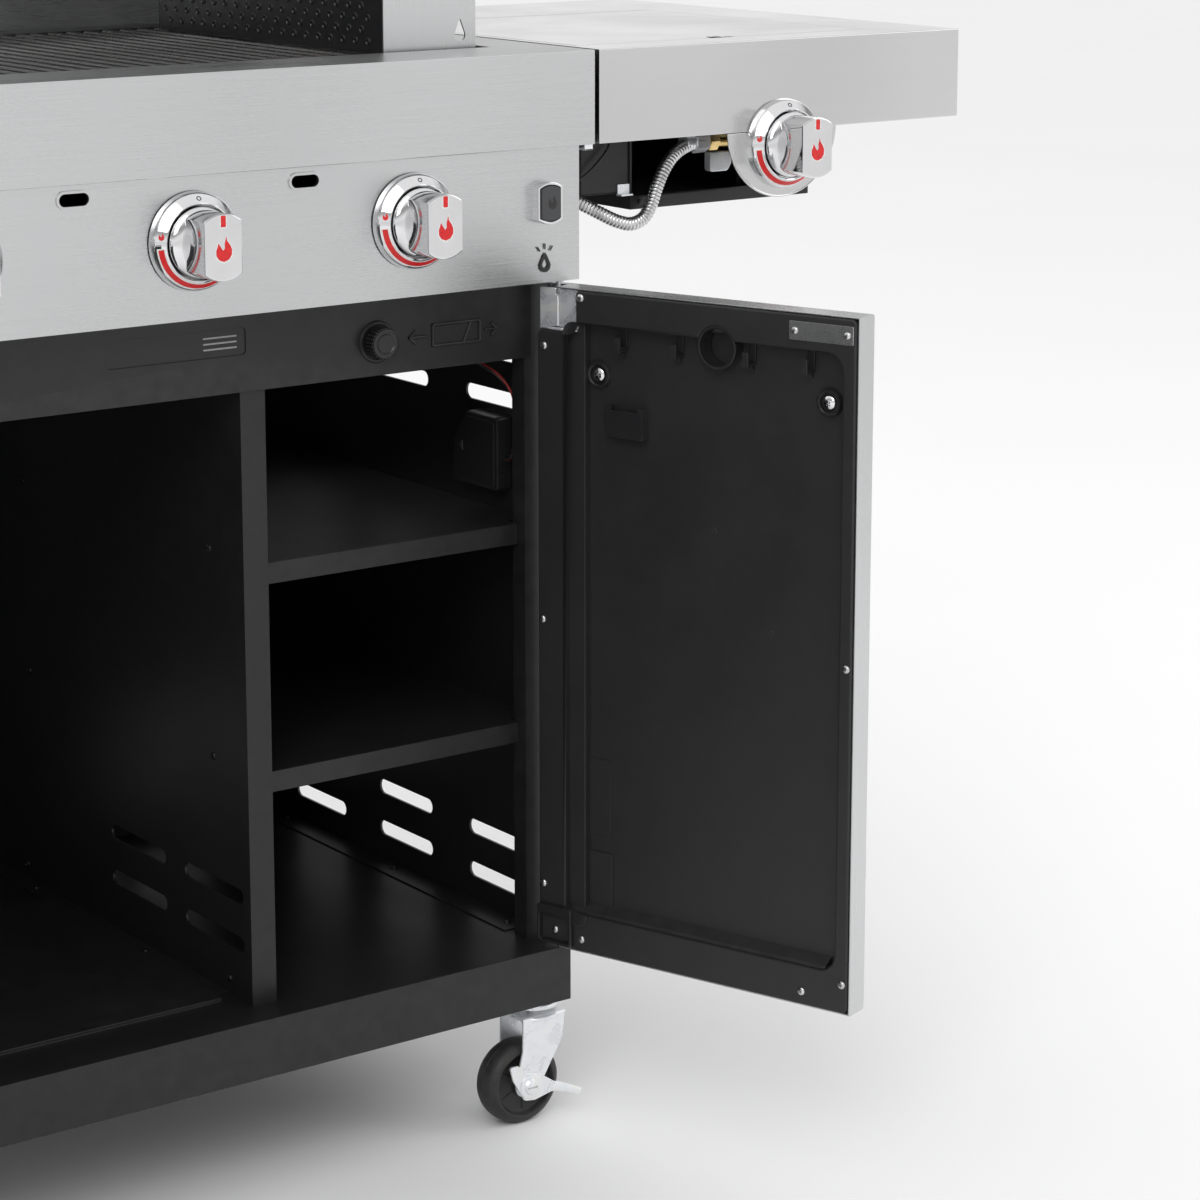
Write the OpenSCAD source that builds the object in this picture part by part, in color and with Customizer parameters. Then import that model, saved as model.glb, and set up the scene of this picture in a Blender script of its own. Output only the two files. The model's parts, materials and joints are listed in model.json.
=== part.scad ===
// Gas barbecue grill on a two-door cabinet cart, with a hinged hood, two side shelves and a
// side burner. Millimetres, +Z up, X to the viewer's right, Y from the front to the back.
// The doors and the hood are drawn open. Depths named *_d are measured back from the face of
// the front trim, and at() turns them into the Y of the part.

/* [Overall] */
// Height of the cooking deck and of the side shelves
deck_z = 860; // [855:1:865]
// Half of the cabinet's width
cab_hw = 329; // [327:1:331]
// Depth of the cabinet, to the back panel
cab_d = 468; // [464:1:472]
// Thickness of the folded steel sheet
sheet = 2; // [1.5:0.1:2.2]

/* [Trim and control panel] */
// Half of the front trim's width
trim_hw = 349; // [348:1:350]
// Height of the front trim's face
trim_h = 72; // [70:1:74]
// Half of the control panel's width
panel_hw = 338; // [336:1:340]
// Height of the control panel
panel_h = 104; // [102:1:106]
// Distance between neighbouring knobs
knob_pitch = 186; // [180:1:188]

/* [Cabinet] */
// Height of the base tray's top, the cabinet floor
floor_z = 147; // [145:1:149]
// Height of the base tray's skirts
base_h = 46; // [44:1:48]
// Left edge of the divider's front post
divider_x = 53; // [50:1:56]
// Height of the black rail under the control panel
rail_h = 62; // [60:1:64]

/* [Doors] */
// Thickness of a door
door_t = 24; // [23:0.5:24.5]
// X of the seam between the two closed doors
door_seam_x = 46; // [42:1:50]
// Angle by which the right door stands open
door_r_open = 109; // [100:1:112]
// Angle by which the left door stands open
door_l_open = 112; // [100:1:115]

/* [Hood] */
// Radius of the hood's curved top
hood_r = 235; // [230:1:240]
// Half of the hood shell's width
hood_hw = 304; // [303:0.5:305]
// Angle by which the hood stands open
hood_open = 90; // [80:1:90]

/* [Side shelves] */
// X where a side shelf begins
side_x = 353; // [352:0.5:355]
// Width of a side shelf
side_w = 368; // [360:1:372]
// Depth of a side shelf
side_d = 470; // [460:1:480]

/* [Casters] */
// Radius of a caster wheel
wheel_r = 34.5; // [33:0.5:35]
// Width of a caster wheel
wheel_w = 26; // [24:1:27]
// Trail of a caster, from its swivel axis to its axle
trail = 16; // [14:1:18]

/* [Hidden] */
$fn = 48;
eps = 0.02;

trim_z = deck_z - trim_h;          // lower edge of the trim, upper edge of the panel
panel_z = trim_z - panel_h;        // lower edge of the control panel
panel_d = 6;                       // face of the control panel and of the base tray
rail_d = 33;                       // face of the black rail
frame_d = 36;                      // face of the posts
base_z = floor_z - base_h;
knob_z = panel_z + 57;
knob_xs = [-knob_pitch, 0, knob_pitch];
fire_hw = 300;                     // half of the firebox's width
fire_d = [70, 458];
fire_z = [700, 856];
side_knob = [534, 777];
shelf_zs = [326, 488];

// hinges: [x, depth] of the doors' pins, [depth, z] of the hood's pins
door_pin = [324, 12];
door_z = [floor_z + 3.5, panel_z - 2.5];
hood_pin = [455, 882];
hood_d = [72, 492];
hood_z = 864;
pin_r = 3;
run = 0.05;                        // radial clearance of a running fit
door_r_x0 = door_seam_x + 1.5;     // free edge of the closed right door
door_l_x0 = -door_seam_x + 1.5;    // the same on the mirrored left door

// Depth that lies at Y = 0: midway between the left door's free edge and the raised hood's back
hood_back_d = hood_pin[0] + hood_z + hood_r + 2 - hood_pin[1];
door_front_d = door_pin[1] - (door_pin[0] - door_l_x0) * sin(door_l_open)
  + (panel_d + door_t - 2 - door_pin[1]) * cos(door_l_open);
mid_d = (hood_back_d + door_front_d) / 2;

module at() translate([0, -mid_d, 0]) children();
// box between two corners
module span(lo, hi) translate(lo) cube(hi - lo);
// the same box on the right and on the left
module both() for (s = [0, 1]) mirror([s, 0, 0]) children();
// flat outline with round corners, centred
module round_rect(w, h, r) {
  square([w - 2 * r, h], center = true);
  square([w, h - 2 * r], center = true);
  for (x = [-1, 1], y = [-1, 1]) translate([x * (w / 2 - r), y * (h / 2 - r)]) circle(r);
}
// a round bar along +Y from a depth
module bar_y(x, d0, d1, z, r) translate([x, d0, z]) rotate([-90, 0, 0]) cylinder(r = r, h = d1 - d0);
// a round bar along +X
module bar_x(x0, x1, d, z, r) translate([x0, d, z]) rotate([0, 90, 0]) cylinder(r = r, h = x1 - x0);
// an outline drawn as [x, z], given a thickness along the depth
module slab_y(d0, d1) translate([0, d1, 0]) rotate([90, 0, 0]) linear_extrude(d1 - d0) children();
// an outline drawn as [depth, z], given a thickness along X
module slab_x(x0, x1) translate([x0, 0, 0]) rotate([90, 0, 90]) linear_extrude(x1 - x0) children();
// open tray of sheet between two corners, with its mouth up
module tray(lo, hi, t) difference() {
  span(lo, hi);
  span(lo + [t, t, t], hi + [-t, -t, 1]);
}

// ---- sweeping a tube along a route ----
function unit(v) = v / norm(v);
function catmull(p, i, t) =
  let (n = len(p), a = p[max(i - 1, 0)], b = p[i], c = p[min(i + 1, n - 1)], d = p[min(i + 2, n - 1)])
  0.5 * (2 * b + (c - a) * t + (2 * a - 5 * b + 4 * c - d) * t * t + (3 * b - a - 3 * c + d) * t * t * t);
function smooth(p, k) = concat([for (i = [0:len(p) - 2], j = [0:k - 1]) catmull(p, i, j / k)],
                               [p[len(p) - 1]]);
function along(p, i) = unit(p[min(i + 1, len(p) - 1)] - p[max(i - 1, 0)]);
function ring(c, t, r, n) =
  let (u = unit(cross(t, [0, 1, 0.01])), v = cross(t, u))
  [for (k = [0:n - 1]) c + r * (cos(360 * k / n) * u + sin(360 * k / n) * v)];
module tube(p, r, n) {
  m = len(p);
  points = [for (i = [0:m - 1]) each ring(p[i], along(p, i), r, n)];
  sides = [for (i = [0:m - 2], k = [0:n - 1])
    [i * n + k, i * n + (k + 1) % n, (i + 1) * n + (k + 1) % n, (i + 1) * n + k]];
  first = [for (k = [n - 1:-1:0]) k];
  last = [for (k = [0:n - 1]) (m - 1) * n + k];
  polyhedron(points, concat(sides, [first], [last]), convexity = 6);
}

// ---- cabinet ----
bottle_plate = [[-250, 60], [40, 350]];
caster_x = 307;
caster_ds = [28, 446];
module base_tray() color("#1c1c1e") at() {
  difference() {
    span([-cab_hw, panel_d, base_z], [cab_hw, cab_d, floor_z]);
    span([-cab_hw + sheet, panel_d + sheet, base_z - 1], [cab_hw - sheet, cab_d - sheet, floor_z - sheet]);
  }
  // raised bottle stand
  span([bottle_plate[0][0], bottle_plate[0][1], floor_z - eps],
       [bottle_plate[1][0], bottle_plate[1][1], floor_z + 3]);
  // corner gussets that carry the casters
  both() for (d = caster_ds)
    span([caster_x - 34, max(d - 34, panel_d + 1), base_z],
         [cab_hw - 1, min(d + 34, cab_d - 1), base_z + 3]);
}

vent_zs = [174, 211, 578, 615];
vent_ds = [106, 244, 382];
hose_hole = [72, 752];              // [depth, z] of the holes for gas in the side panels
post_x = 307;                      // inner edge of the posts beside the doors
module side_panels() color("#1a1a1c") at() both() difference() {
  union() {
    translate([0, 0, floor_z]) linear_extrude(panel_z - floor_z) polygon([
      [cab_hw, cab_d], [cab_hw, frame_d], [post_x, frame_d], [post_x, 53], [post_x + sheet, 53],
      [post_x + sheet, frame_d + sheet], [cab_hw - sheet, frame_d + sheet], [cab_hw - sheet, cab_d]]);
    span([cab_hw - sheet, 64, panel_z - eps], [cab_hw, 440, deck_z - 3]);
  }
  for (z = vent_zs, d = vent_ds) translate([0, d, z])
    slab_x(cab_hw - 5, cab_hw + 5) round_rect(82, 12.6, 6.2);
  translate([cab_hw - 6, hose_hole[0], hose_hole[1]]) rotate([0, 90, 0]) cylinder(r = 11, h = 12);
}

module back_panel() color("#1a1a1c") at() difference() {
  span([-cab_hw + sheet, cab_d - sheet, floor_z], [cab_hw - sheet, cab_d, 640]);
  for (z = [190, 220, 250], x = [-220, -130, 130, 220]) translate([x, 0, z])
    slab_y(cab_d - 6, cab_d + 4) round_rect(70, 10, 4.9);
}

divider_w = 21;
module divider_panel() color("#1b1b1d") at() difference() {
  translate([0, 0, floor_z]) linear_extrude(panel_z - rail_h - floor_z) polygon([
    [divider_x, cab_d - sheet], [divider_x, frame_d], [divider_x + divider_w, frame_d],
    [divider_x + divider_w, 60], [divider_x + divider_w - sheet, 60],
    [divider_x + divider_w - sheet, frame_d + sheet], [divider_x + sheet, frame_d + sheet],
    [divider_x + sheet, cab_d - sheet]]);
  for (z = [192, 230], d = [92, 212]) translate([0, d, z])
    slab_x(divider_x - 3, divider_x + 5) round_rect(90, 12, 5.9);
}

module cabinet_shelves() color("#1d1d1f") at() for (z = shelf_zs) {
  x0 = divider_x + sheet;
  x1 = cab_hw - sheet;
  span([x0, 62, z - sheet], [x1, 430, z]);
  span([divider_x + divider_w + 4, 45, z - sheet], [post_x - 0.5, 62 + eps, z]);
  span([divider_x + divider_w + 4, 45, z - 16.5], [post_x - 0.5, 45 + sheet, z]);
  span([x0, 430 - sheet, z - 16.5], [x1, 430, z]);
}

thumb = [170, 648];
module front_rail() color("#1f1f21") at() difference() {
  union() {
    span([-312, rail_d, panel_z - rail_h], [312, rail_d + sheet, panel_z]);
    span([-post_x + 1, rail_d, panel_z - rail_h], [post_x - 1, 52, panel_z - rail_h + sheet]);
    // flange under the thumb knob
    bar_y(thumb[0], rail_d - 2.5, rail_d + eps, thumb[1], 13.5);
  }
  // recessed name field, left blank
  translate([0, 0, 660]) slab_y(rail_d - 1, rail_d + 0.8) round_rect(114, 20, 2);
  bar_y(thumb[0], rail_d - 5, rail_d + 5, thumb[1], 4 + run);
}

module rail_thumb_knob() color("#141415") at() difference() {
  union() {
    bar_y(thumb[0], 19, 30, thumb[1], 12);
    bar_y(thumb[0], 30 - eps, 48, thumb[1], 4);
    bar_y(thumb[0], 40, 44, thumb[1], 8);
  }
  for (k = [0:17]) translate([thumb[0], 0, thumb[1]]) rotate([0, 20 * k, 0]) bar_y(12.6, 18, 29, 0, 1.3);
  bar_y(thumb[0], 18, 20.5, thumb[1], 7.5);
}

// ---- control panel ----
light_xs = [-knob_pitch / 2, knob_pitch / 2];
light_z = panel_z + 93;
button = [305, panel_z + 62];
module control_panel() color("#b9babb") at() difference() {
  union() {
    span([-panel_hw, panel_d, panel_z], [panel_hw, panel_d + sheet, trim_z - 0.5]);
    span([-panel_hw, panel_d, panel_z], [panel_hw, 46, panel_z + sheet]);
    both() span([panel_hw - sheet, panel_d, panel_z], [panel_hw, 62, trim_z - 0.5]);
    // flared rims of the lighting holes
    for (x = light_xs) translate([x, 0, light_z])
      slab_y(panel_d - 1.2, panel_d + eps) round_rect(27, 13, 6.4);
  }
  for (x = knob_xs) bar_y(x, 0, 20, knob_z, 9);
  for (x = light_xs) translate([x, 0, light_z]) slab_y(0, 20) round_rect(23, 9, 4.4);
  translate([button[0], 0, button[1]]) slab_y(0, 20) square([18, 24], center = true);
}

module knob_bezels() color("#d6d6d8") at() {
  for (x = knob_xs) bezel(x, panel_d, knob_z);
  bezel(side_knob[0], 0, side_knob[1]);
  // plate that hangs below the side shelf behind the side knob
  difference() {
    translate([side_knob[0], 0, 790]) slab_y(0, 1.5) circle(55, $fn = 96);
    span([400, -5, trim_z - 0.2], [700, 5, deck_z]);
    bar_y(side_knob[0], -5, 5, side_knob[1], 9);
  }
}
module bezel(x, d, z) translate([x, d, z]) rotate([90, 0, 0]) rotate_extrude($fn = 96)
  polygon([[27, 0], [28.4, 0], [28.4, 9.8], [32.8, 10], [33.8, 7], [34.6, 0], [36, 0], [36, 1.2],
           [35.2, 7], [34.2, 10.4], [33, 11.5], [28, 11.5], [27, 10.7]]);

// flat-sided outline with arched ends, drawn smaller by an amount
module arched(less) intersection() {
  square([23 - 2 * less, 40], center = true);
  translate([0, 2.8]) circle(19 - less, $fn = 96);
  translate([0, -2.8]) circle(19 - less, $fn = 96);
}
module igniter_collar() color("#cfd0d1") at() translate([button[0], 0, button[1]]) difference() {
  union() {
    slab_y(panel_d - 9, panel_d) arched(0);
    // body of the switch, through the panel
    slab_y(panel_d - 1, 40) square([17.96, 23.96], center = true);
    slab_y(panel_d + sheet, 40) square([22, 28], center = true);
  }
  slab_y(panel_d - 12, panel_d - 1) arched(1.2);
  bar_y(0, panel_d - 2, 34, 0, 6.4);
}
module igniter_button() color("#3a3b3d") at() translate([button[0], 0, button[1]]) {
  slab_y(panel_d - 10.2, panel_d - 4.6) arched(1.6);
  bar_y(0, panel_d - 5, panel_d + 18, 0, 6);
}

// the stem that slides in the valve when the knob is pushed, and the knob that turns on it
module stem(x, d, z) at() {
  bar_y(x, d - 14, d + 20, z, 4);
  bar_y(x, d + 4, d + 6, z, 7);
}
module knob(x, d, z) at() difference() {
  union() {
    translate([x, d - 4.5, z]) rotate([90, 0, 0]) rotate_extrude($fn = 96)
      polygon([[0, 0], [26, 0], [26, 8], [24.5, 10.5], [21, 12.5], [16, 13.5], [0, 13.5]]);
    intersection() {
      bar_y(x, d - 44, d - 16, z, 24, $fn = 96);
      span([x - 15.2, d - 45, z - 30], [x + 15.2, d - 15, z + 30]);
    }
  }
  bar_y(x, d - 14.5, d + 4, z, 4 + run);
}
module stem_left() color("#c0b080") stem(-knob_pitch, panel_d, knob_z);
module stem_middle() color("#c0b080") stem(0, panel_d, knob_z);
module stem_right() color("#c0b080") stem(knob_pitch, panel_d, knob_z);
module knob_left() color("#d9d9db") knob(-knob_pitch, panel_d, knob_z);
module knob_middle() color("#d9d9db") knob(0, panel_d, knob_z);
module knob_right() color("#d9d9db") knob(knob_pitch, panel_d, knob_z);
module side_knob() color("#d9d9db") knob(side_knob[0], 0, side_knob[1]);

// ---- firebox ----
module front_trim() color("#b4b5b6") at() {
  span([-trim_hw, 0, trim_z], [trim_hw, sheet, deck_z]);
  span([-trim_hw, 0, deck_z - sheet], [trim_hw, fire_d[0], deck_z]);
  span([-trim_hw, 0, trim_z], [trim_hw, 16, trim_z + sheet]);
  both() {
    span([trim_hw - sheet, 0, trim_z], [trim_hw, 70, deck_z]);
    span([fire_hw + 1, 0, deck_z - sheet], [trim_hw, 430, deck_z]);
  }
}

burner_r = 14;
module firebox() color("#161617") at() {
  difference() {
    tray([-fire_hw, fire_d[0], fire_z[0]], [fire_hw, fire_d[1], fire_z[1]], 3);
    for (x = knob_xs) bar_y(x, 60, 80, knob_z, burner_r + 0.5);
    translate([0, 264, 690]) linear_extrude(30) round_rect(150, 120, 20);
  }
  // ledges under the grates
  for (d = [[73 - eps, 84], [444, 455 + eps]]) span([-297, d[0], 838], [297, d[1], 842]);
  // ledges under the emitter plates
  for (d = [[73 - eps, 94], [436, 455 + eps]]) span([-297, d[0], 803], [297, d[1], 806]);
  // runners of the grease tray
  both() {
    span([122, 90, 657], [124, 440, fire_z[0] + eps]);
    span([112, 90, 657], [124, 440, 659]);
  }
}

baffle_x = 210;
baffle_z = [fire_z[1], 940];
baffle_d = [81, 430];
module end_baffles() color("#b0b1b2") at() both() difference() {
  span([baffle_x, baffle_d[0], baffle_z[0]], [294, baffle_d[0] + 1.5, baffle_z[1]]);
  // drop-shaped see-through opening
  translate([279.5, 0, 869.5]) slab_y(baffle_d[0] - 5, baffle_d[0] + 5) {
    circle(5);
    polygon([[-4.6, 2], [4.6, 2], [0.6, 12], [-0.6, 12]]);
  }
}
module baffle_walls() color("#262628") at() both() {
  span([baffle_x, baffle_d[0] + 1.5, baffle_z[0]], [baffle_x + 1.5, baffle_d[1], baffle_z[1]]);
  span([baffle_x, baffle_d[1] - 1.5, baffle_z[0]], [baffle_x + 84, baffle_d[1], baffle_z[1]]);
}

grate_bars = 12;
grate_w = 192;
module cooking_grates() color("#202022") at() for (k = [-1:1]) translate([k * 196, 0, 0]) {
  bar = 9;
  pitch = (grate_w - bar) / (grate_bars - 1);
  for (i = [0:grate_bars - 1]) translate([i * pitch - grate_w / 2, 0, 0])
    span([0, 74, 845], [bar, 454, 856]);
  for (d = [[74, 82], [446, 454], [260, 268]]) span([-grate_w / 2, d[0], 842], [grate_w / 2, d[1], 850]);
}
// stepped plates: six strips side by side, every second one 3 mm higher
module emitter_plates() color("#3a3836") at() for (k = [-1:1], i = [0:5])
  translate([k * 196 - 93 + i * 31.4, 0, 806 + 3 * (i % 2)])
    span([0, 90, 0], [i < 5 ? 31.4 + eps : 28.4, 440, 4]);

module main_burners() color("#8f8f90") at() for (x = knob_xs) {
  difference() {
    bar_y(x, 62, 430, knob_z, burner_r);
    bar_y(x, 60, 427, knob_z, burner_r - 1.5);
  }
  // stand of the burner on the firebox floor
  span([x - 8, 400, fire_z[0] + 3], [x + 8, 403, knob_z - burner_r + 1]);
}

module gas_valves() color("#c3c4c6") at() {
  for (x = knob_xs) valve(x, panel_d + 4, knob_z);
  valve(side_knob[0], 4, side_knob[1]);
  // elbow from the side valve to the hose
  bar_x(494, side_knob[0] + 6, 50, side_knob[1], 6);
}
module valve(x, d, z) difference() {
  union() {
    span([x - 10, d + 6, z - 11], [x + 10, d + 38, z + 11]);
    bar_y(x, d + 38 - eps, d + 54, z, 5);
  }
  bar_y(x, d, d + 30, z, 4 + run);
}

pipe = [38, knob_z - 22];           // [depth, z] of the manifold's axis
module manifold_pipe() color("#a9a9ab") at() {
  // the pipe behind the valves, under their outlets
  bar_x(-252, 300, pipe[0], pipe[1], 9.5);
  for (x = knob_xs) span([x - 6, pipe[0] - 6, pipe[1]], [x + 6, pipe[0] + 6, knob_z - 11]);
  // at each end an elbow behind a hole of the side panel: for the side burner's hose, and for the supply
  both() {
    bar_x(250, 312, pipe[0], pipe[1], 7);
    span([308, pipe[0] - 6, pipe[1] - 6], [320, 78, pipe[1] + 6]);
    span([308, 66, pipe[1] - 6], [320, 78, hose_hole[1] + 7]);
  }
  // gas inlet nipple, out through the left side panel
  bar_x(-331, -320 + eps, hose_hole[0], hose_hole[1], 8);
  bar_x(-350, -331, hose_hole[0], hose_hole[1], 6.5);
}

hose_points = [
  [320.4, 72, 752], [334, 71, 752], [347, 67, 748.5], [362, 62, 742], [376, 56, 734.5],
  [389, 50, 727], [403, 45.5, 719.8], [416, 43.5, 716.8], [427.5, 43, 720.5], [435, 43, 730.5],
  [441.5, 44, 744], [449.5, 45, 757.5], [461, 47, 768.3], [476, 49, 774.5], [493.5, 50, 777]];
module gas_hose() color("#aeb0b2") at() tube(smooth(hose_points, 3), 5.4, 12);

wire_points = [
  [320, 82, 531], [320, 75, 533], [321, 70, 546], [321, 67, 564], [319, 67, 582], [314, 70, 594],
  [307, 77, 604], [301, 87, 610], [297, 88, 618], [295.5, 82, 632], [296, 74, 648], [298, 66, 666],
  [299, 61.5, 684], [299, 60, 704], [299, 60, 720], [299, 57, 736], [299, 49, 745], [299, 40, 747]];
module igniter_wires() color("#7a2320") at() tube(smooth(wire_points, 2), 2, 8);

module battery_box() color("#19191a") at() {
  // the back corner of the box is cut off under its lid
  slab_x(312, cab_hw - sheet) polygon([[82, 506], [146, 506], [146, 537], [125, 566], [82, 566]]);
  slab_x(311, 312 + eps) polygon([[87, 511], [141, 511], [141, 535], [123, 560], [87, 560]]);
}

module grease_tray() color("#6f6f70") at() {
  tray([-119, 95, 660], [119, 452, 690], 1.5);
  span([-60, 452 - eps, 678], [60, 464, 681]);
}

// ---- hood, drawn closed and then opened about its pins ----
module hood_pose() at() translate([0, hood_pin[0], hood_pin[1]]) rotate([-hood_open, 0, 0])
  translate([0, -hood_pin[0], -hood_pin[1]]) children();
// side view of the closed hood as [depth, z], drawn in by a margin
module hood_outline(m) difference() {
  intersection() {
    translate([282, hood_z]) circle(hood_r - m, $fn = 180);
    translate([hood_d[0] + m, hood_z]) square([hood_d[1] - hood_d[0] - 2 * m, 300]);
  }
  translate([430, 850]) square([80, 56]);
}
module hood_shell() color("#b7b8b9") hood_pose() difference() {
  slab_x(-hood_hw, hood_hw) hood_outline(0);
  slab_x(-hood_hw - 1, hood_hw + 1) union() {
    hood_outline(1.6);
    translate([hood_d[0] + 1.6, hood_z - 5]) square([400, 10]);
    translate([380, 840]) square([hood_d[1] - 1.6 - 380, 70]);
  }
}
module hood_ends() color("#18181a") hood_pose() both() difference() {
  slab_x(hood_hw, hood_hw + 8) {
    hood_outline(-2);
    translate(hood_pin) circle(19);
    translate([hood_pin[0] - 20, hood_pin[1]]) square([39, 30]);
  }
  bar_x(hood_hw - 1, hood_hw + 9, hood_pin[0], hood_pin[1], 4 + run);
  span([hood_hw - 1, 380, 840], [hood_hw + 9, 430, 864]);
}
handle_z = 898;
module hood_handle() color("#c4c5c6") hood_pose() {
  bar_x(-240, 240, hood_d[0] - 40, handle_z, 11);
  both() bar_y(205, hood_d[0] - 40, hood_d[0], handle_z, 9);
}
dial_z = 946;
module thermometer() color("#cfcfd1") hood_pose() difference() {
  bar_y(0, hood_d[0] - 8, hood_d[0], dial_z, 27, $fn = 96);
  bar_y(0, hood_d[0] - 9, hood_d[0] - 4, dial_z, 24, $fn = 96);
  bar_y(0, hood_d[0] - 9, hood_d[0] + 1, dial_z, 1.5 + run);
}
module thermometer_needle() color("#202020") hood_pose() {
  bar_y(0, hood_d[0] - 6.4, hood_d[0] - 1, dial_z, 1.5);
  span([-1, hood_d[0] - 6.4, dial_z - 6], [1, hood_d[0] - 5.4, dial_z + 19]);
}

// ---- side shelves ----
module shelf_shell() {
  difference() {
    span([side_x, 0, trim_z], [side_x + side_w, side_d, deck_z]);
    span([side_x + sheet, sheet, trim_z - 1], [side_x + side_w - sheet, side_d - sheet, deck_z - sheet]);
  }
  // arms that bolt to the cabinet
  for (d = [110, 380]) span([cab_hw, d, trim_z + 8], [side_x + 12, d + 24, trim_z + 24]);
}
lid_x = [362, 650];
lid_d = [42, 332];
module side_shelf_right() color("#bfc0c1") at() difference() {
  shelf_shell();
  span([lid_x[0] - 1.5, lid_d[0] - 1.5, deck_z - 10], [lid_x[1] + 1.5, lid_d[1] + 1.5, deck_z + 1]);
}
module side_shelf_left() color("#bfc0c1") at() mirror([1, 0, 0]) shelf_shell();

side_pin = [lid_d[1] - 6, deck_z - 7];
module side_burner_lid() color("#c6c7c8") at() difference() {
  union() {
    span([lid_x[0], lid_d[0], deck_z - sheet], [lid_x[1], lid_d[1] - 1.5, deck_z]);
    both_ends() translate([lid_x[0] + 3, lid_d[0] + 3, deck_z - 8])
      cube([2, lid_d[1] - lid_d[0] - 21, 8 - sheet + eps]);
    span([lid_x[0] + 3, lid_d[0] + 3, deck_z - 8], [lid_x[1] - 3, lid_d[0] + 5, deck_z - sheet + eps]);
    // hinge knuckles
    both_ends() {
      bar_x(lid_x[0] + 6, lid_x[0] + 22, side_pin[0], side_pin[1], 5);
      translate([lid_x[0] + 6, side_pin[0] - 4, side_pin[1]])
        cube([16, 8, deck_z - sheet + eps - side_pin[1]]);
    }
  }
  both_ends() bar_x(lid_x[0] + 5, lid_x[0] + 23, side_pin[0], side_pin[1], 2.5 + run);
  // finger notch
  translate([506, lid_d[0] + 2, deck_z - 5]) cylinder(r = 12, h = 10);
}
// the same thing at both ends of the side burner's lid
module both_ends() {
  children();
  translate([lid_x[0] + lid_x[1], 0, 0]) mirror([1, 0, 0]) children();
}
burner_c = [506, 190];
// a well under the lid, and in its floor a narrower pan with a low front rim
burner_well = [[368, 56, 790], [644, 316, deck_z - 12]];
burner_pan = [[424, 56, 726], [608, 316, 792]];
module side_burner_box() color("#1b1b1c") at() {
  difference() {
    union() {
      span(burner_well[0], burner_well[1]);
      span(burner_pan[0], burner_pan[1]);
    }
    span(burner_well[0] + [sheet, sheet, sheet], burner_well[1] + [-sheet, -sheet, 1]);
    span(burner_pan[0] + [sheet, sheet, sheet], burner_pan[1] + [-sheet, -sheet, 1]);
    // the pan's front is open above the rim
    span(burner_pan[0] + [sheet, -1, 11], [burner_pan[1][0] - sheet, 59, 789]);
  }
  // hinge pins of the lid, on lugs of the box
  both_ends() {
    span([lid_x[0] + 24, 312, 820], [lid_x[0] + 27, side_pin[0], side_pin[1]]);
    bar_x(lid_x[0] + 24, lid_x[0] + 27, side_pin[0], side_pin[1], 4);
    bar_x(lid_x[0] + 5, lid_x[0] + 25, side_pin[0], side_pin[1], 2.5);
  }
  // hangers to the shelf's skirts
  for (x = [400, 600]) span([x, sheet, 800], [x + 30, 56 + eps, 803]);
  span([side_x + sheet, 150, 800], [368 + eps, 190, 803]);
}
module side_burner_head() color("#77787a") at() translate([burner_c[0], burner_c[1], 0]) {
  translate([0, 0, 728]) cylinder(r = 9, h = 62);
  translate([0, 0, 786]) rotate_extrude($fn = 96)
    polygon([[0, 0], [30, 0], [38, 12], [38, 18], [34, 22], [0, 22]]);
}
module side_burner_grate() color("#1a1a1b") at() translate([burner_c[0], burner_c[1], 0]) {
  for (a = [0:45:315]) rotate([0, 0, a]) span([44, -3, 834], [112, 3, 840]);
  translate([0, 0, 834]) rotate_extrude($fn = 96) translate([44, 0]) square([6, 6]);
  translate([0, 0, 834]) rotate_extrude($fn = 96) translate([106, 0]) square([6, 6]);
  for (a = [45:90:315]) rotate([0, 0, a]) span([104, -3, 728], [108, 3, 836]);
}

// ---- doors, drawn closed and then opened about their pins ----
door_x1 = door_pin[0] + 11;
module door_pose(a) at() translate([door_pin[0], door_pin[1], 0]) rotate([0, 0, a])
  translate([-door_pin[0], -door_pin[1], 0]) children();
// folded skin: x0 is the free edge of the closed door
module door_skin(x0) {
  difference() {
    span([x0, panel_d, door_z[0]], [door_x1, panel_d + door_t - 2, door_z[1]]);
    span([x0 + 1.5, panel_d + 1.5, door_z[0] + 1.5], [door_x1 - 1.5, panel_d + 40, door_z[1] - 1.5]);
    // the hinge edge is folded less far, to clear the frame
    span([door_x1 - 20, panel_d + 14, door_z[0] - 1], [door_x1 + 1, panel_d + 40, door_z[1] + 1]);
    for (z = [door_z[0] - 1, door_z[1] - 3])
      translate([door_pin[0], door_pin[1], z]) cylinder(r = 5, h = 4);
  }
}
// moulded liner: rim round a recessed field, with hinge blocks at both hinge corners
module door_liner(x0, knob_pocket) {
  face = panel_d + door_t;
  difference() {
    span([x0 + 2, panel_d + 1.7, door_z[0] + 2], [door_x1 - 1.8, face, door_z[1] - 2]);
    translate([(x0 + 18 + door_x1 - 46) / 2, 0, (door_z[0] + 32 + door_z[1] - 35) / 2])
      slab_y(face - 13, face + 5)
        round_rect(door_x1 - 46 - x0 - 18, door_z[1] - 35 - door_z[0] - 32, 14);
    if (knob_pocket) bar_y(thumb[0], face - 16, face + 5, thumb[1], 18);
    translate([door_pin[0], door_pin[1], door_z[0] - 1]) cylinder(r = pin_r + run, h = 26);
    translate([door_pin[0], door_pin[1], door_z[1] - 25]) cylinder(r = pin_r + run, h = 26);
  }
}
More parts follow.
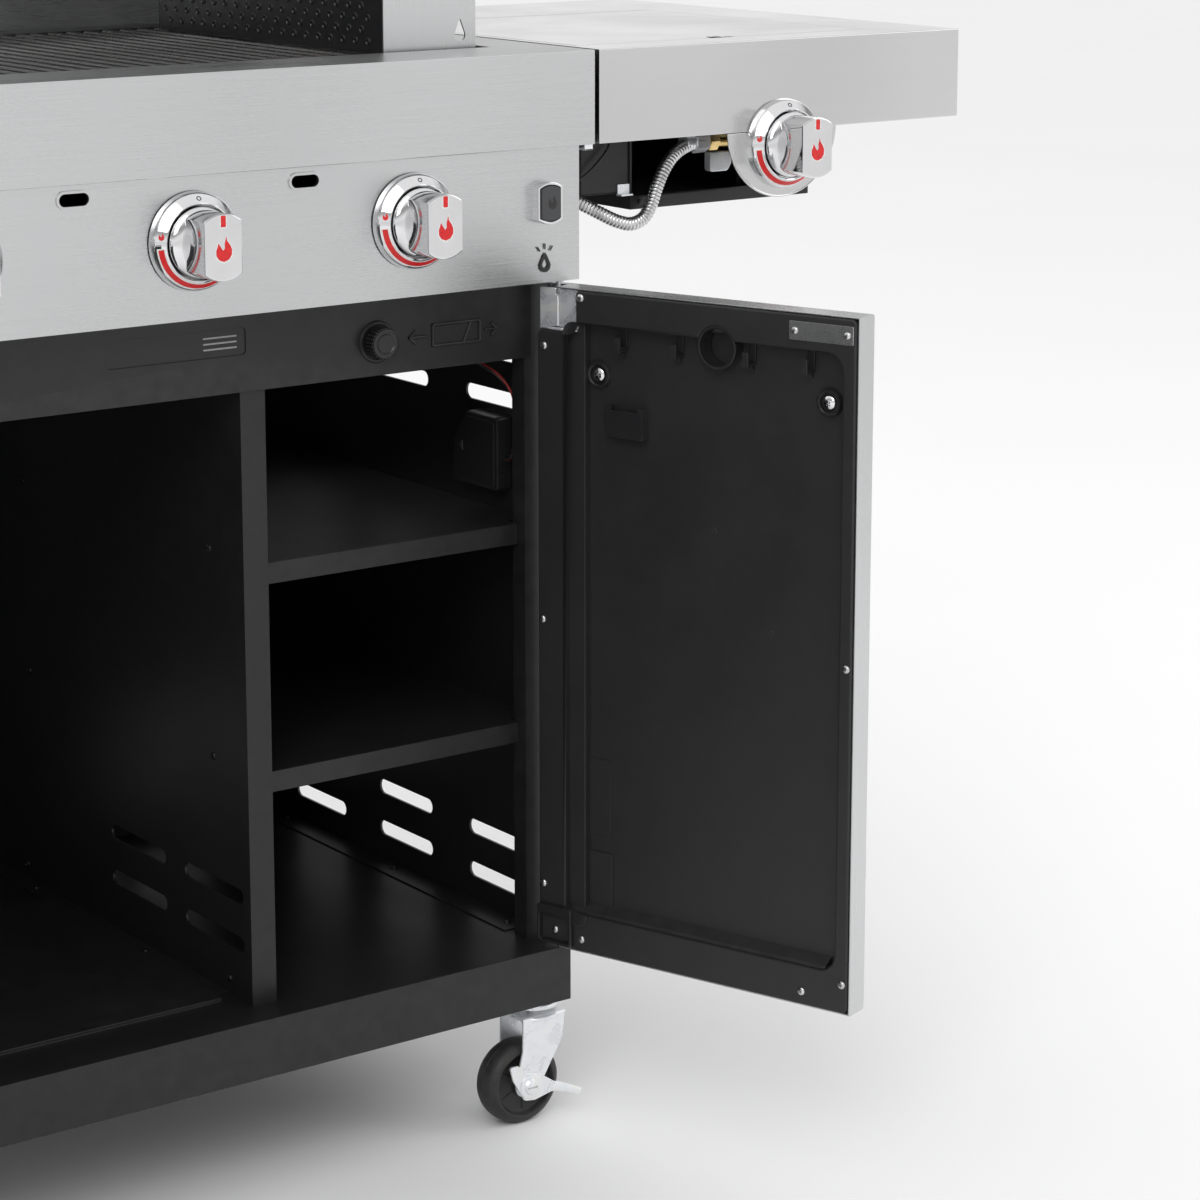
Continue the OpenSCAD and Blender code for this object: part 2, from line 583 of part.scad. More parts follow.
// bar handle across the top of a door, on two posts in line with the screws seen in the liner
handle_screw_z = 615;
module door_handle(x0, x1) {
  bar_x(x0, x1, panel_d - 25, handle_screw_z, 7.5);
  for (x = [x0 + 7.5, x1 - 7.5]) bar_y(x, panel_d - 25, panel_d, handle_screw_z, 6);
}
module door_right_skin() color("#b8b9ba") door_pose(door_r_open) door_skin(door_r_x0);
module door_right_liner() color("#1b1b1c") door_pose(door_r_open) door_liner(door_r_x0, true);
module door_right_handle() color("#c4c5c6") door_pose(door_r_open) door_handle(70, 290);
module door_left_skin() color("#b8b9ba") mirror([1, 0, 0]) door_pose(door_l_open) door_skin(door_l_x0);
module door_left_liner() color("#1b1b1c") mirror([1, 0, 0])
  door_pose(door_l_open) door_liner(door_l_x0, false);
module door_left_handle() color("#c4c5c6") mirror([1, 0, 0])
  door_pose(door_l_open) door_handle(-22, 290);

module hinge_pins() color("#c9cacc") at() {
  both() translate([door_pin[0], door_pin[1], 0]) {
    translate([0, 0, floor_z]) cylinder(r = pin_r, h = 24);
    translate([0, 0, panel_z - 24]) cylinder(r = pin_r, h = 24 + eps);
  }
  // hood pins in ears that stand on the side panels
  both() {
    bar_x(hood_hw + 0.5, 330, hood_pin[0], hood_pin[1], 4);
    slab_x(314, 317) {
      translate(hood_pin) circle(12);
      translate([hood_pin[0] - 12, 790]) square([24, hood_pin[1] - 790]);
    }
    span([300, hood_pin[0] - 12, 790], [317, fire_d[1], 793]);
  }
}

// ---- casters ----
module caster_plates() color("#c2c4c6") at() both() for (d = caster_ds) translate([caster_x, d, 0]) {
  difference() {
    union() {
      translate([-20, -20, base_z - 2]) cube([40, 40, 2]);
      translate([0, 0, base_z - 6]) cylinder(r = 21, h = 4 + eps);
    }
    translate([0, 0, base_z - 8]) cylinder(r = 5 + run, h = 12);
  }
}
// fork with its swivel pin and the wheel's axle, trailing towards the middle of the cart
module fork(s, d) at() mirror([s, 0, 0]) translate([caster_x, d, 0]) {
  leg = wheel_w / 2 + 1.5;
  translate([0, 0, base_z - 10]) cylinder(r = 21, h = 3.5);
  translate([0, 0, base_z - 10]) cylinder(r = 5, h = 9);
  for (m = [0, 1]) mirror([0, m, 0]) {
    slab_y(leg, leg + 2.5) {
      polygon([[-20, base_z - 8], [20, base_z - 8], [16, 62],
               [-trail + 8, wheel_r - 4], [-trail - 8, wheel_r - 4], [-22, 62]]);
      translate([-trail, wheel_r]) circle(9);
    }
    bar_y(-trail, leg + 2.4, leg + (m == 1 ? 6.2 : 4.5), wheel_r, 6);
  }
  bar_y(-trail, -leg - 2, leg + 2, wheel_r, 4);
}
module wheel(s, d) at() mirror([s, 0, 0]) translate([caster_x - trail, d, wheel_r]) rotate([90, 0, 0])
  rotate_extrude($fn = 96) {
    h = wheel_w / 2;
    polygon([[4 + run, -h], [11, -h], [12, -h + 4], [24, -h + 4], [26, -h + 1], [wheel_r - 3, -h + 1],
             [wheel_r - 0.8, -h + 4], [wheel_r, -h + 8], [wheel_r, h - 8], [wheel_r - 0.8, h - 4],
             [wheel_r - 3, h - 1], [26, h - 1], [24, h - 4], [12, h - 4], [11, h], [4 + run, h]]);
  }
// brake lever on the outside of a front fork
module brake(s) at() mirror([s, 0, 0]) translate([caster_x - trail, caster_ds[0], wheel_r]) {
  face = wheel_w / 2 + 4.3;
  difference() {
    slab_y(-face - 2, -face) {
      circle(11);
      polygon([[-9, -7], [-13, 20], [-4, 22], [8, 9]]);
      polygon([[2, -10.6], [28, -12], [30, -5], [7, 8.4]]);
    }
    bar_y(0, -face - 3, -face + 1, 0, 6 + run);
  }
  // foot tab, bent outwards
  slab_y(-face - 8, -face - 2 + eps) polygon([[27, -12], [50, -17], [51, -15], [30, -8]]);
}
module fork_front_right() color("#c6c8ca") fork(0, caster_ds[0]);
module fork_front_left() color("#c6c8ca") fork(1, caster_ds[0]);
module fork_back_right() color("#c6c8ca") fork(0, caster_ds[1]);
module fork_back_left() color("#c6c8ca") fork(1, caster_ds[1]);
module wheel_front_right() color("#19191a") wheel(0, caster_ds[0]);
module wheel_front_left() color("#19191a") wheel(1, caster_ds[0]);
module wheel_back_right() color("#19191a") wheel(0, caster_ds[1]);
module wheel_back_left() color("#19191a") wheel(1, caster_ds[1]);
module brake_right() color("#cfd1d3") brake(0);
module brake_left() color("#cfd1d3") brake(1);

base_tray();
side_panels();
back_panel();
divider_panel();
cabinet_shelves();
front_rail();
rail_thumb_knob();
control_panel();
front_trim();
firebox();
end_baffles();
baffle_walls();
cooking_grates();
emitter_plates();
main_burners();
gas_valves();
manifold_pipe();
knob_bezels();
igniter_collar();
igniter_button();
battery_box();
igniter_wires();
grease_tray();
hood_shell();
hood_ends();
hood_handle();
thermometer();
thermometer_needle();
side_shelf_right();
side_burner_lid();
side_burner_box();
side_burner_head();
side_burner_grate();
gas_hose();
side_shelf_left();
door_right_skin();
door_right_liner();
door_right_handle();
door_left_skin();
door_left_liner();
door_left_handle();
hinge_pins();
caster_plates();
fork_front_right();
fork_front_left();
fork_back_right();
fork_back_left();
wheel_front_right();
wheel_front_left();
wheel_back_right();
wheel_back_left();
brake_right();
brake_left();
stem_left();
stem_middle();
stem_right();
knob_left();
knob_middle();
knob_right();
side_knob();
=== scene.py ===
"""The looks of a gas barbecue grill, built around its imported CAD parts.

Pieces are built in millimetres as (x, depth, z): x to the right, depth back from the front trim's
face, z up from the floor. Doors and hood are built shut, and swung() carries them to where they
stand at rest. Places and sizes come from the CAD nodes' boxes wherever a node has them.
"""

import json
import random
from math import acos, asin, cos, degrees, pi, radians, sin, tan, tau

import bmesh
import bpy
from mathutils import Matrix, Vector


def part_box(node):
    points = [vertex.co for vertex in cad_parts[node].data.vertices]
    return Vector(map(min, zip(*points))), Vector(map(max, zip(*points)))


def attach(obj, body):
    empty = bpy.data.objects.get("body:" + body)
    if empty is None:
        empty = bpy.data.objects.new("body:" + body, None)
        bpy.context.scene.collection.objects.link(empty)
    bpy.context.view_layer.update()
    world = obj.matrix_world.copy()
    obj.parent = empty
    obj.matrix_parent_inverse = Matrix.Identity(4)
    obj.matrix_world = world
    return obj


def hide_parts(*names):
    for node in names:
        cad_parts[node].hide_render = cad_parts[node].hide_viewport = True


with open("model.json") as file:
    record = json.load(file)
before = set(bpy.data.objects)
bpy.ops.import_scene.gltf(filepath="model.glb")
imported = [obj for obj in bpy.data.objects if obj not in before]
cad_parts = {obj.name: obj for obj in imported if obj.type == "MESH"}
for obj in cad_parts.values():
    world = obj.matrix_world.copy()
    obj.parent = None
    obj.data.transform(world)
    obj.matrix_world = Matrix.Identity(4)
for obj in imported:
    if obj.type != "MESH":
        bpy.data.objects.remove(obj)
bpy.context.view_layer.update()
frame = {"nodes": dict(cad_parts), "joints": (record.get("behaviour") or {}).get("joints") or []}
joints = {j["name"]: j for j in frame["joints"]}
random.seed(7)

MM = 0.001
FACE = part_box("front_trim")[0].y
TO_WORLD = Matrix.Translation((0, FACE, 0)) @ Matrix.Scale(MM, 4)
TO_MM = TO_WORLD.inverted()
STILL = Matrix.Identity(4)
X, Y, Z = Vector((1, 0, 0)), Vector((0, 1, 0)), Vector((0, 0, 1))


# ---- places ----
def span(node):
    """Lowest and highest corner of a CAD node at rest."""
    lo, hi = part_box(node)
    return TO_MM @ lo, TO_MM @ hi


def middle(node):
    lo, hi = span(node)
    return (lo + hi) / 2


def pin_of(joint):
    return TO_MM @ Vector(joints[joint]["pos_m"])


def swung(joint):
    """Matrix from the shut place, in which a piece is built, to where it stands at rest."""
    pin = pin_of(joint)
    turn = Matrix.Rotation(radians(-joints[joint]["range_deg"][0]), 4, Vector(joints[joint]["axis"]))
    return Matrix.Translation(pin) @ turn @ Matrix.Translation(-pin)


def facing(point, axis):
    """Matrix that puts a shape built round +Z at a point, with its +Z along axis."""
    return Matrix.Translation(Vector(point)) @ Vector(axis).to_track_quat("Z", "Y").to_matrix().to_4x4()


def turned_to(point, angle, axis="Y"):
    """Matrix that turns a shape by degrees about an axis and moves it to a point."""
    return Matrix.Translation(point) @ Matrix.Rotation(radians(angle), 4, axis)


# ---- outlines, as lists of 2-D points ----
def offset(x, z, *points):
    """An outline given from a place."""
    return [(x + u, z + v) for u, v in points]


def rounded(points, radius, steps=5):
    """A closed outline with its corners turned into arcs. Radius is one number, or one for each corner."""
    made = []
    radii = radius if isinstance(radius, (list, tuple)) else [radius] * len(points)
    for i, r in enumerate(radii):
        p = Vector(points[i])
        a = (Vector(points[i - 1]) - p).normalized()
        b = (Vector(points[(i + 1) % len(points)]) - p).normalized()
        half = a.angle(b) / 2
        if r <= 0 or half > pi / 2 - 0.01:
            made.append(p)
            continue
        centre = p + (a + b).normalized() * (r / sin(half))
        start = p + a * (r / tan(half)) - centre
        end = p + b * (r / tan(half)) - centre
        made += [centre + start.lerp(end, k / steps).normalized() * r for k in range(steps + 1)]
    return made


def rectangle(x0, z0, x1, z1, radius=0):
    corners = [(x0, z0), (x1, z0), (x1, z1), (x0, z1)]
    return rounded(corners, radius) if radius else corners


def centred(x, z, half_x, half_z, radius=0):
    return rectangle(x - half_x, z - half_z, x + half_x, z + half_z, radius)


def ring(centre, radius, count=32, start=0, sweep=360):
    """A circle, or an arc with a point at both ends."""
    gaps = count if abs(sweep) >= 360 else count - 1
    angles = [radians(start + sweep * k / gaps) for k in range(count)]
    return [(centre[0] + radius * cos(a), centre[1] + radius * sin(a)) for a in angles]


def arched(x, z, half, radius, drop=0, count=24):
    """An outline with flat sides and arched ends, whose arcs' centres lie past the middle by drop."""
    corner = degrees(acos(half / radius))
    sweep = 180 - 2 * corner
    return (ring((x, z - drop), radius, count, corner, sweep)
            + ring((x, z + drop), radius, count, 180 + corner, sweep))


def drop_outline(x, z, height):
    """A generic drop, point up."""
    wide = height * 0.33
    bowl = ring((x, z - height * 0.17), wide, 22, 150, 240)
    shoulder, rise = wide * 0.42, height * 0.30
    return bowl + offset(x, z, (shoulder, rise), (0, height * 0.5), (-shoulder, rise))


def flame_outline(x, z, height):
    """A plain flame: a round bowl, one tall tongue and a short one."""
    shape = [(0.12, 0.50), (0.15, 0.33), (0.27, 0.17), (0.36, -0.02), (0.35, -0.24), (0.22, -0.42),
             (0, -0.50), (-0.22, -0.42), (-0.34, -0.24), (-0.34, -0.04), (-0.27, 0.12), (-0.24, 0.25),
             (-0.13, 0.08), (-0.03, -0.06), (0.05, 0.03), (0.04, 0.22)]
    return [(x + height * u, z + height * v) for u, v in shape]


def rod(radius, length, start=0):
    """Profile of a plain round bar."""
    return [(0, start), (radius, start), (radius, start + length), (0, start + length)]


def capped(end, length):
    """Profile of a bar whose two ends are shaped alike."""
    return end + [(r, length - h) for r, h in end[::-1]]


def smooth_path(points, steps=6):
    """A curve through given 3-D points."""
    p = [Vector(q) for q in points]
    p = [2 * p[0] - p[1]] + p + [2 * p[-1] - p[-2]]
    made = []
    for a, b, c, d in zip(p, p[1:], p[2:], p[3:]):
        for k in range(steps):
            t = k / steps
            made.append(0.5 * (2 * b + (c - a) * t + (2 * a - 5 * b + 4 * c - d) * t * t
                               + (3 * b - a - 3 * c + d) * t ** 3))
    return made + [p[-2]]


# ---- pieces ----
def modify(made, name, kind, **settings):
    modifier = made.modifiers.new(name, kind)
    for setting, value in settings.items():
        setattr(modifier, setting, value)


def mesh_from(bm, name):
    mesh = bpy.data.meshes.new(name)
    bm.to_mesh(mesh)
    bm.free()
    return mesh


def show(name, data):
    made = bpy.data.objects.new(name, data)
    bpy.context.scene.collection.objects.link(made)
    return made


# how plate() lays a flat outline for each normal
LAID = {"X": ((0, 0, 1), (1, 0, 0), (0, 1, 0)), "Y": ((1, 0, 0), (0, 0, -1), (0, 1, 0)),
        "Z": ((1, 0, 0), (0, 1, 0), (0, 0, 1))}


class Piece:
    """One visible piece. Each method adds a shape to it, and done() makes the object."""

    def __init__(self, name, body, materials, swing=STILL, mirrored=False):
        self.name, self.body, self.materials = name, body, materials
        self.swing, self.mirrored = swing, mirrored
        self.bm = bmesh.new()

    def take(self, bm, matrix=STILL, material=0):
        bm.normal_update()
        for face in bm.faces:
            face.material_index = material
            face.smooth = True
        bmesh.ops.transform(bm, matrix=matrix, verts=bm.verts)
        mesh = mesh_from(bm, "part")
        self.bm.from_mesh(mesh)
        bpy.data.meshes.remove(mesh)

    def block(self, lo, hi, edge=0.8, material=0, matrix=STILL):
        """A box with rounded edges."""
        lo, hi = Vector(lo), Vector(hi)
        bm = bmesh.new()
        box = Matrix.Translation((lo + hi) / 2) @ Matrix.Diagonal((*(hi - lo), 1))
        bmesh.ops.create_cube(bm, size=1, matrix=box)
        edge = min(edge, min(abs(c) for c in hi - lo) * 0.45)
        bmesh.ops.bevel(bm, geom=bm.edges[:], offset=edge, segments=2, profile=0.5, affect="EDGES")
        self.take(bm, matrix, material)

    def turned(self, profile, centre, axis=Y, material=0, count=64):
        """Revolves a profile of (radius, height) points round an axis. Height runs along the axis."""
        bm = bmesh.new()
        rings = []
        for r, h in profile:
            spots = ring((0, 0), r, count) if r > 1e-6 else [(0, 0)]
            rings.append([bm.verts.new((x, y, h)) for x, y in spots])
        for a, b in zip(rings, rings[1:]):
            for i in range(count):
                j = (i + 1) % count
                corners = dict.fromkeys((a[i % len(a)], a[j % len(a)], b[j % len(b)], b[i % len(b)]))
                if len(corners) > 2:
                    bm.faces.new(list(corners))
        if profile[0] == profile[-1]:
            bmesh.ops.remove_doubles(bm, verts=bm.verts, dist=1e-4)
        else:
            bmesh.ops.holes_fill(bm, edges=bm.edges)
        bmesh.ops.recalc_face_normals(bm, faces=bm.faces)
        self.take(bm, facing(centre, axis), material)

    def part_turned(self, section, centre, start, sweep, material=0, steps=48):
        """Revolves a closed section of (radius, depth) points part of the way round a front-to-back axis."""
        bm = bmesh.new()
        rows = []
        for r, depth in section:
            rows.append([bm.verts.new((x, depth, z)) for x, z in ring(centre, r, steps, start, sweep)])
        for a, b in zip(rows, rows[1:] + rows[:1]):
            for i in range(steps - 1):
                bm.faces.new((a[i], a[i + 1], b[i + 1], b[i]))
        bmesh.ops.holes_fill(bm, edges=bm.edges)
        bmesh.ops.recalc_face_normals(bm, faces=bm.faces)
        self.take(bm, STILL, material)

    def plate(self, outline, low, high, normal="Y", holes=(), edge=0.4, material=0, matrix=STILL):
        """A flat shape from an outline and holes, thick from low to high along the axis named by normal."""
        curve = bpy.data.curves.new("outline", "CURVE")
        curve.dimensions, curve.fill_mode = "2D", "BOTH"
        edge = min(edge, (high - low) * 0.45)
        curve.extrude, curve.bevel_depth, curve.offset = (high - low) / 2 - edge, edge, -edge
        curve.bevel_resolution = 1
        for points in (outline, *holes):
            spline = curve.splines.new("POLY")
            spline.points.add(len(points) - 1)
            for q, p in zip(spline.points, points):
                q.co = (p[0], p[1], 0, 1)
            spline.use_cyclic_u = True
        holder = bpy.data.objects.new("outline", curve)
        mesh = bpy.data.meshes.new_from_object(holder)
        bm = bmesh.new()
        bm.from_mesh(mesh)
        bpy.data.objects.remove(holder)
        bpy.data.curves.remove(curve)
        bpy.data.meshes.remove(mesh)
        bmesh.ops.remove_doubles(bm, verts=bm.verts, dist=1e-3)
        bmesh.ops.dissolve_limit(bm, angle_limit=0.002, verts=bm.verts, edges=bm.edges)
        laid = Matrix(LAID[normal]).to_4x4()
        laid.translation = {"X": X, "Y": Y, "Z": Z}[normal] * ((low + high) / 2)
        self.take(bm, matrix @ laid, material)

    def tube(self, points, radii, material=0, count=16, closed=False, squash=1.0, up=None):
        """Sweeps a circle along points. Radii is one number or one for each; squash flattens it across up."""
        points = [Vector(p) for p in points]
        if not isinstance(radii, (list, tuple)):
            radii = [radii] * len(points)
        bm = bmesh.new()
        side = None
        rings = []
        for i, p in enumerate(points):
            before = points[i - 1] if i or closed else p
            after = points[(i + 1) % len(points)] if i < len(points) - 1 or closed else p
            along = (after - before).normalized()
            if side is None:
                side = along.cross(up or (Z if abs(along.z) < 0.9 else X)).normalized()
            side = (side - along * side.dot(along)).normalized()
            across = along.cross(side)
            rings.append([bm.verts.new(p + (side * c + across * (s * squash)) * radii[i])
                          for c, s in ring((0, 0), 1, count)])
        for a, b in list(zip(rings, rings[1:])) + ([(rings[-1], rings[0])] if closed else []):
            for k in range(count):
                j = (k + 1) % count
                bm.faces.new((a[k], a[j], b[j], b[k]))
        if not closed:
            bm.faces.new(rings[0][::-1])
            bm.faces.new(rings[-1])
        bmesh.ops.recalc_face_normals(bm, faces=bm.faces)
        self.take(bm, STILL, material)

    def stamp(self, template, point, axis, turn=0, material=0, scale=1.0):
        """Adds a copy of a template mesh, its +Z along axis."""
        bm = bmesh.new()
        bm.from_mesh(template)
        matrix = facing(point, axis) @ Matrix.Rotation(radians(turn), 4, "Z") @ Matrix.Scale(scale, 4)
        self.take(bm, matrix, material)

    def done(self, slot, *replaced, sharp=32):
        """Makes the object; its slot is not used. It stands for the CAD nodes named in replaced."""
        if self.mirrored:
            bmesh.ops.transform(self.bm, matrix=Matrix.Diagonal((-1, 1, 1, 1)), verts=self.bm.verts)
            bmesh.ops.reverse_faces(self.bm, faces=self.bm.faces)
        bmesh.ops.transform(self.bm, matrix=TO_WORLD @ self.swing, verts=self.bm.verts)
        mesh = mesh_from(self.bm, self.name)
        for m in self.materials:
            mesh.materials.append(m)
        mesh.set_sharp_from_angle(angle=radians(sharp))
        made = show(self.name, mesh)
        modify(made, "even_normals", "WEIGHTED_NORMAL", keep_sharp=True)
        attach(made, self.body)
        if replaced:
            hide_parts(*replaced)


# ---- materials ----
def feed(tree, node, sockets):
    """Sets a node's inputs to values, or links them to other nodes' outputs."""
    for socket, value in sockets.items():
        if isinstance(value, bpy.types.NodeSocket):
            tree.links.new(value, node.inputs[socket])
        else:
            node.inputs[socket].default_value = value


def faded(colour, share, lift=0):
    return [c * share + lift for c in colour]


class Look:
    """A procedural material: a shader, and short ways to drive it from noise in the object's own metres."""

    def __init__(self, name, colour, roughness, metallic=0.0, fixed=None):
        self.material = bpy.data.materials.new(name)
        self.material.use_nodes = True
        self.tree = self.material.node_tree
        self.shader = self.tree.nodes["Principled BSDF"]
        self.set({"Base Color": (*colour, 1), "Roughness": roughness, "Metallic": metallic, **(fixed or {})})
        self.where = self.node("TexCoord").outputs["Object"]
        self.height = None

    def set(self, sockets):
        feed(self.tree, self.shader, sockets)

    def node(self, kind, sockets=None, **settings):
        made = self.tree.nodes.new("ShaderNode" + kind)
        for setting, value in settings.items():
            setattr(made, setting, value)
        feed(self.tree, made, sockets or {})
        return made

    def stretched(self, stretch=(1, 1, 1)):
        return self.node("Mapping", {"Scale": stretch, "Vector": self.where}).outputs["Vector"]

    def noise(self, scale, detail=4.0, distortion=0.0, stretch=(1, 1, 1)):
        sockets = {"Scale": scale, "Detail": detail, "Distortion": distortion,
                   "Vector": self.stretched(stretch)}
        return self.node("TexNoise", sockets).outputs["Fac"]

    def cells(self, scale, output="Distance"):
        return self.node("TexVoronoi", {"Scale": scale, "Vector": self.stretched()}).outputs[output]

    def spread(self, value, low, high, start=0.3, end=0.7):
        """Maps a noise value between start and end to the numbers low to high."""
        sockets = {"Value": value, "From Min": start, "From Max": end, "To Min": low, "To Max": high}
        return self.node("MapRange", sockets).outputs["Result"]

    def sum(self, a, b, kind="ADD"):
        return self.node("Math", {0: a, 1: b}, operation=kind).outputs[0]

    def tint(self, value, *stops):
        """Colours the surface by a value. Stops are (place, colour)."""
        made = self.node("ValToRGB", {"Fac": value})
        elements = made.color_ramp.elements
        while len(elements) < len(stops):
            elements.new(0.5)
        for element, (at, colour) in zip(elements, stops):
            element.position = at
            element.color = (*colour, 1)
        self.set({"Base Color": made.outputs["Color"]})

    def rough(self, *spread):
        """Sets the roughness by a value, with spread()'s arguments."""
        self.set({"Roughness": self.spread(*spread)})

    def bump(self, height, distance, strength=1.0):
        sockets = {"Distance": distance, "Strength": strength, "Height": height}
        if self.height is not None:
            sockets["Normal"] = self.height
        self.height = self.node("Bump", sockets).outputs["Normal"]
        self.set({"Normal": self.height})

    def worn(self):
        """Blends a paler colour in where edges stick out, as handling leaves them."""
        pointy = self.node("NewGeometry").outputs["Pointiness"]
        exposed = self.spread(pointy, 0, 0.25, 0.52, 0.60)
        edge = self.sum(exposed, self.spread(self.noise(90), 0, 1), "MULTIPLY")
        before = self.shader.inputs["Base Color"].links[0].from_socket
        sockets = {"Factor": edge, "A": before, "B": (0.05, 0.05, 0.05, 1)}
        self.set({"Base Color": self.node("Mix", sockets, data_type="RGBA").outputs["Result"]})


def brushed(name, along, base=(0.615, 0.62, 0.625), rough=(0.23, 0.33), grain=1.0):
    """Stainless sheet with a fine grain along one axis, faint smears and broad waves from rolling."""
    look = Look(name, base, 0.28, 1.0)
    fine, coarse = ([(long if axis == along else across) for axis in "XYZ"]
                    for long, across in ((13.0, 2300.0), (2.5, 520.0)))
    lines = look.noise(1.0, 2, 0, fine)
    bands = look.noise(1.0, 2, 0, coarse)
    both = look.sum(look.spread(lines, 0.1, 0.7), look.spread(bands, 0, 0.2))
    smears = look.noise(7, 5, 0.6)
    broad = look.spread(look.noise(2.4, 1), 0, 0.65, 0.36, 0.64)
    look.tint(look.sum(broad, look.sum(both, 0.3, "MULTIPLY")), (0.05, faded(base, 0.84)), (0.85, base))
    grainy = look.spread(both, *rough, 0, 1)
    look.set({"Roughness": look.sum(grainy, look.spread(smears, -0.02, 0.05, 0.35, 0.75))})
    look.bump(lines, 0.000005, 0.25 * grain)
    look.bump(look.noise(3.0, 1), 0.0010, 0.10)
    return look.material


def powder_coat(name, base=(0.0085, 0.0085, 0.0092), rough=0.36):
    """Black stoved powder with orange peel, a trace of dust, and paler worn edges."""
    look = Look(name, base, rough, 0.0, {"Specular IOR Level": 0.42})
    look.tint(look.noise(14, 5, 0.3), (0.35, base), (0.85, faded(base, 1.3, 0.0005)))
    look.rough(look.noise(11, 5), rough - 0.02, rough + 0.05)
    look.bump(look.noise(900, 2), 0.00004, 0.25)
    look.worn()
    return look.material


def moulded(name, base=(0.013, 0.013, 0.014), rough=0.42, grain=1400):
    """Moulded plastic with a fine etched grain and slight flow marks."""
    look = Look(name, base, rough, 0.0, {"Specular IOR Level": 0.45})
    look.tint(look.noise(9, 4), (0.3, base), (0.8, faded(base, 1.18)))
    look.rough(look.noise(18, 4), rough - 0.03, rough + 0.05)
    look.bump(look.cells(grain), 0.00005, 0.30)
    look.worn()
    return look.material


def enamel(name):
    """Glossy black enamel over a cast surface, with pits and brownish seasoning."""
    look = Look(name, (0.012, 0.012, 0.013), 0.2, 0.0, {"Coat Weight": 0.6, "Coat Roughness": 0.08})
    stain = look.noise(38, 6, 0.5)
    look.tint(stain, (0.35, (0.010, 0.010, 0.011)), (0.7, (0.030, 0.024, 0.020)))
    look.rough(stain, 0.14, 0.36)
    look.bump(look.noise(230, 3), 0.0004, 0.30)
    look.bump(look.noise(900, 2), 0.0001, 0.3)
    return look.material


def spangled(name):
    """Galvanised sheet with its crystals."""
    look = Look(name, (0.55, 0.57, 0.58), 0.4, 1.0)
    grey = look.node("RGBToBW", {0: look.cells(120, "Color")}).outputs[0]
    look.tint(grey, (0.1, (0.40, 0.42, 0.43)), (0.9, (0.62, 0.63, 0.64)))
    look.rough(grey, 0.30, 0.52, 0, 1)
    look.bump(look.noise(300, 3), 0.0001, 0.2)
    return look.material


def clouded(name, base, cloud, stops, rough, bump, base_rough=0.3, metallic=1.0):
    """A surface whose colour and sheen follow one cloudy noise: plated or turned metal, rubber, paint."""
    look = Look(name, base, base_rough, metallic)
    value = look.noise(*cloud)
    look.tint(value, *stops)
    look.rough(value, *rough)
    look.bump(look.noise(*bump[0]), *bump[1:])
    return look.material


def heated(name):
    """Stainless that a flame has tinted straw, brown and blue."""
    look = Look(name, (0.45, 0.42, 0.38), 0.35, 1.0)
    look.tint(look.noise(15, 4, 0.7), (0.25, (0.50, 0.49, 0.47)), (0.45, (0.52, 0.42, 0.26)),
              (0.60, (0.27, 0.17, 0.13)), (0.78, (0.16, 0.18, 0.26)))
    look.rough(look.noise(60, 5), 0.25, 0.5)
    look.bump(look.noise(500, 3), 0.0001, 0.3)
    return look.material


def plated(name, base=(0.74, 0.74, 0.75), rough=0.05):
    """Polished chrome with faint haze and finger marks."""
    stops = (0.3, base), (0.85, faded(base, 0.92))
    sheen = (rough * 0.6, rough + 0.09, 0.38, 0.80)
    return clouded(name, base, (45, 6, 0.8), stops, sheen, ((120, 1), 0.00005, 0.12), rough)


def zinc(name, base=(0.84, 0.86, 0.89)):
    """Bright zinc plate: cool, cloudy, with small spots of dulling."""
    stops = (0.30, faded(base, 0.88)), (0.52, base), (0.80, (0.84, 0.83, 0.78))
    return clouded(name, base, (70, 6, 0.9), stops, (0.22, 0.46), ((1400, 2), 0.00004, 0.4), 0.3, 0.7)


def turned_metal(name, base):
    """Brass or steel from a lathe, with fine marks and some tarnish."""
    stops = (0.35, faded(base, 0.7)), (0.6, base)
    marks = (1, 2, 0, (1500, 1500, 1500))
    return clouded(name, base, (55, 6, 0.6), stops, (0.38, 0.18), (marks, 0.00002, 0.4), 0.25)


def tread(name):
    """Hard black wheel rubber, dusty where it rolls."""
    stops = (0.35, (0.010, 0.010, 0.011)), (0.78, (0.034, 0.033, 0.031))
    return clouded(name, (0.012, 0.012, 0.013), (120, 6, 0.5), stops, (0.42, 0.75),
                   ((700, 3), 0.00012, 0.4), 0.55, 0)


def painted(name, base, rough=0.35):
    """A printed or painted mark, uneven at a small scale; also the pale grey of a painted highlight."""
    stops = (0.25, faded(base, 0.72)), (0.6, base)
    return clouded(name, base, (420, 4), stops, (rough - 0.08, rough + 0.12),
                   ((1500, 2), 0.00003, 0.4), rough, 0)


STEEL_X = brushed("stainless_grain_along_x", "X")
STEEL_Z = brushed("stainless_grain_along_z", "Z")
SHELF = brushed("bright_stainless", "X", (0.68, 0.68, 0.68), (0.10, 0.20), 0.5)
BLACK = powder_coat("black_powder_coat")
GLOSS_BLACK = powder_coat("black_gloss_coat", (0.008, 0.008, 0.009), 0.22)
PLASTIC = moulded("black_plastic")
SMOOTH_PLASTIC = moulded("smooth_black_plastic", (0.011, 0.011, 0.012), 0.30, 2200)
GREY = moulded("dark_grey_plastic", (0.042, 0.043, 0.045), 0.42, 1800)
CHROME = plated("polished_chrome")
SATIN_CHROME = plated("satin_chrome", (0.78, 0.78, 0.79), 0.16)
IRON = enamel("enamelled_cast_iron")
ZINC = zinc("zinc_plate")
GALVANISED = spangled("galvanised_sheet")
HEATED = heated("heat_tinted_steel")
BRASS = turned_metal("turned_brass", (0.78, 0.58, 0.26))
BRIGHT = turned_metal("turned_steel", (0.66, 0.66, 0.66))
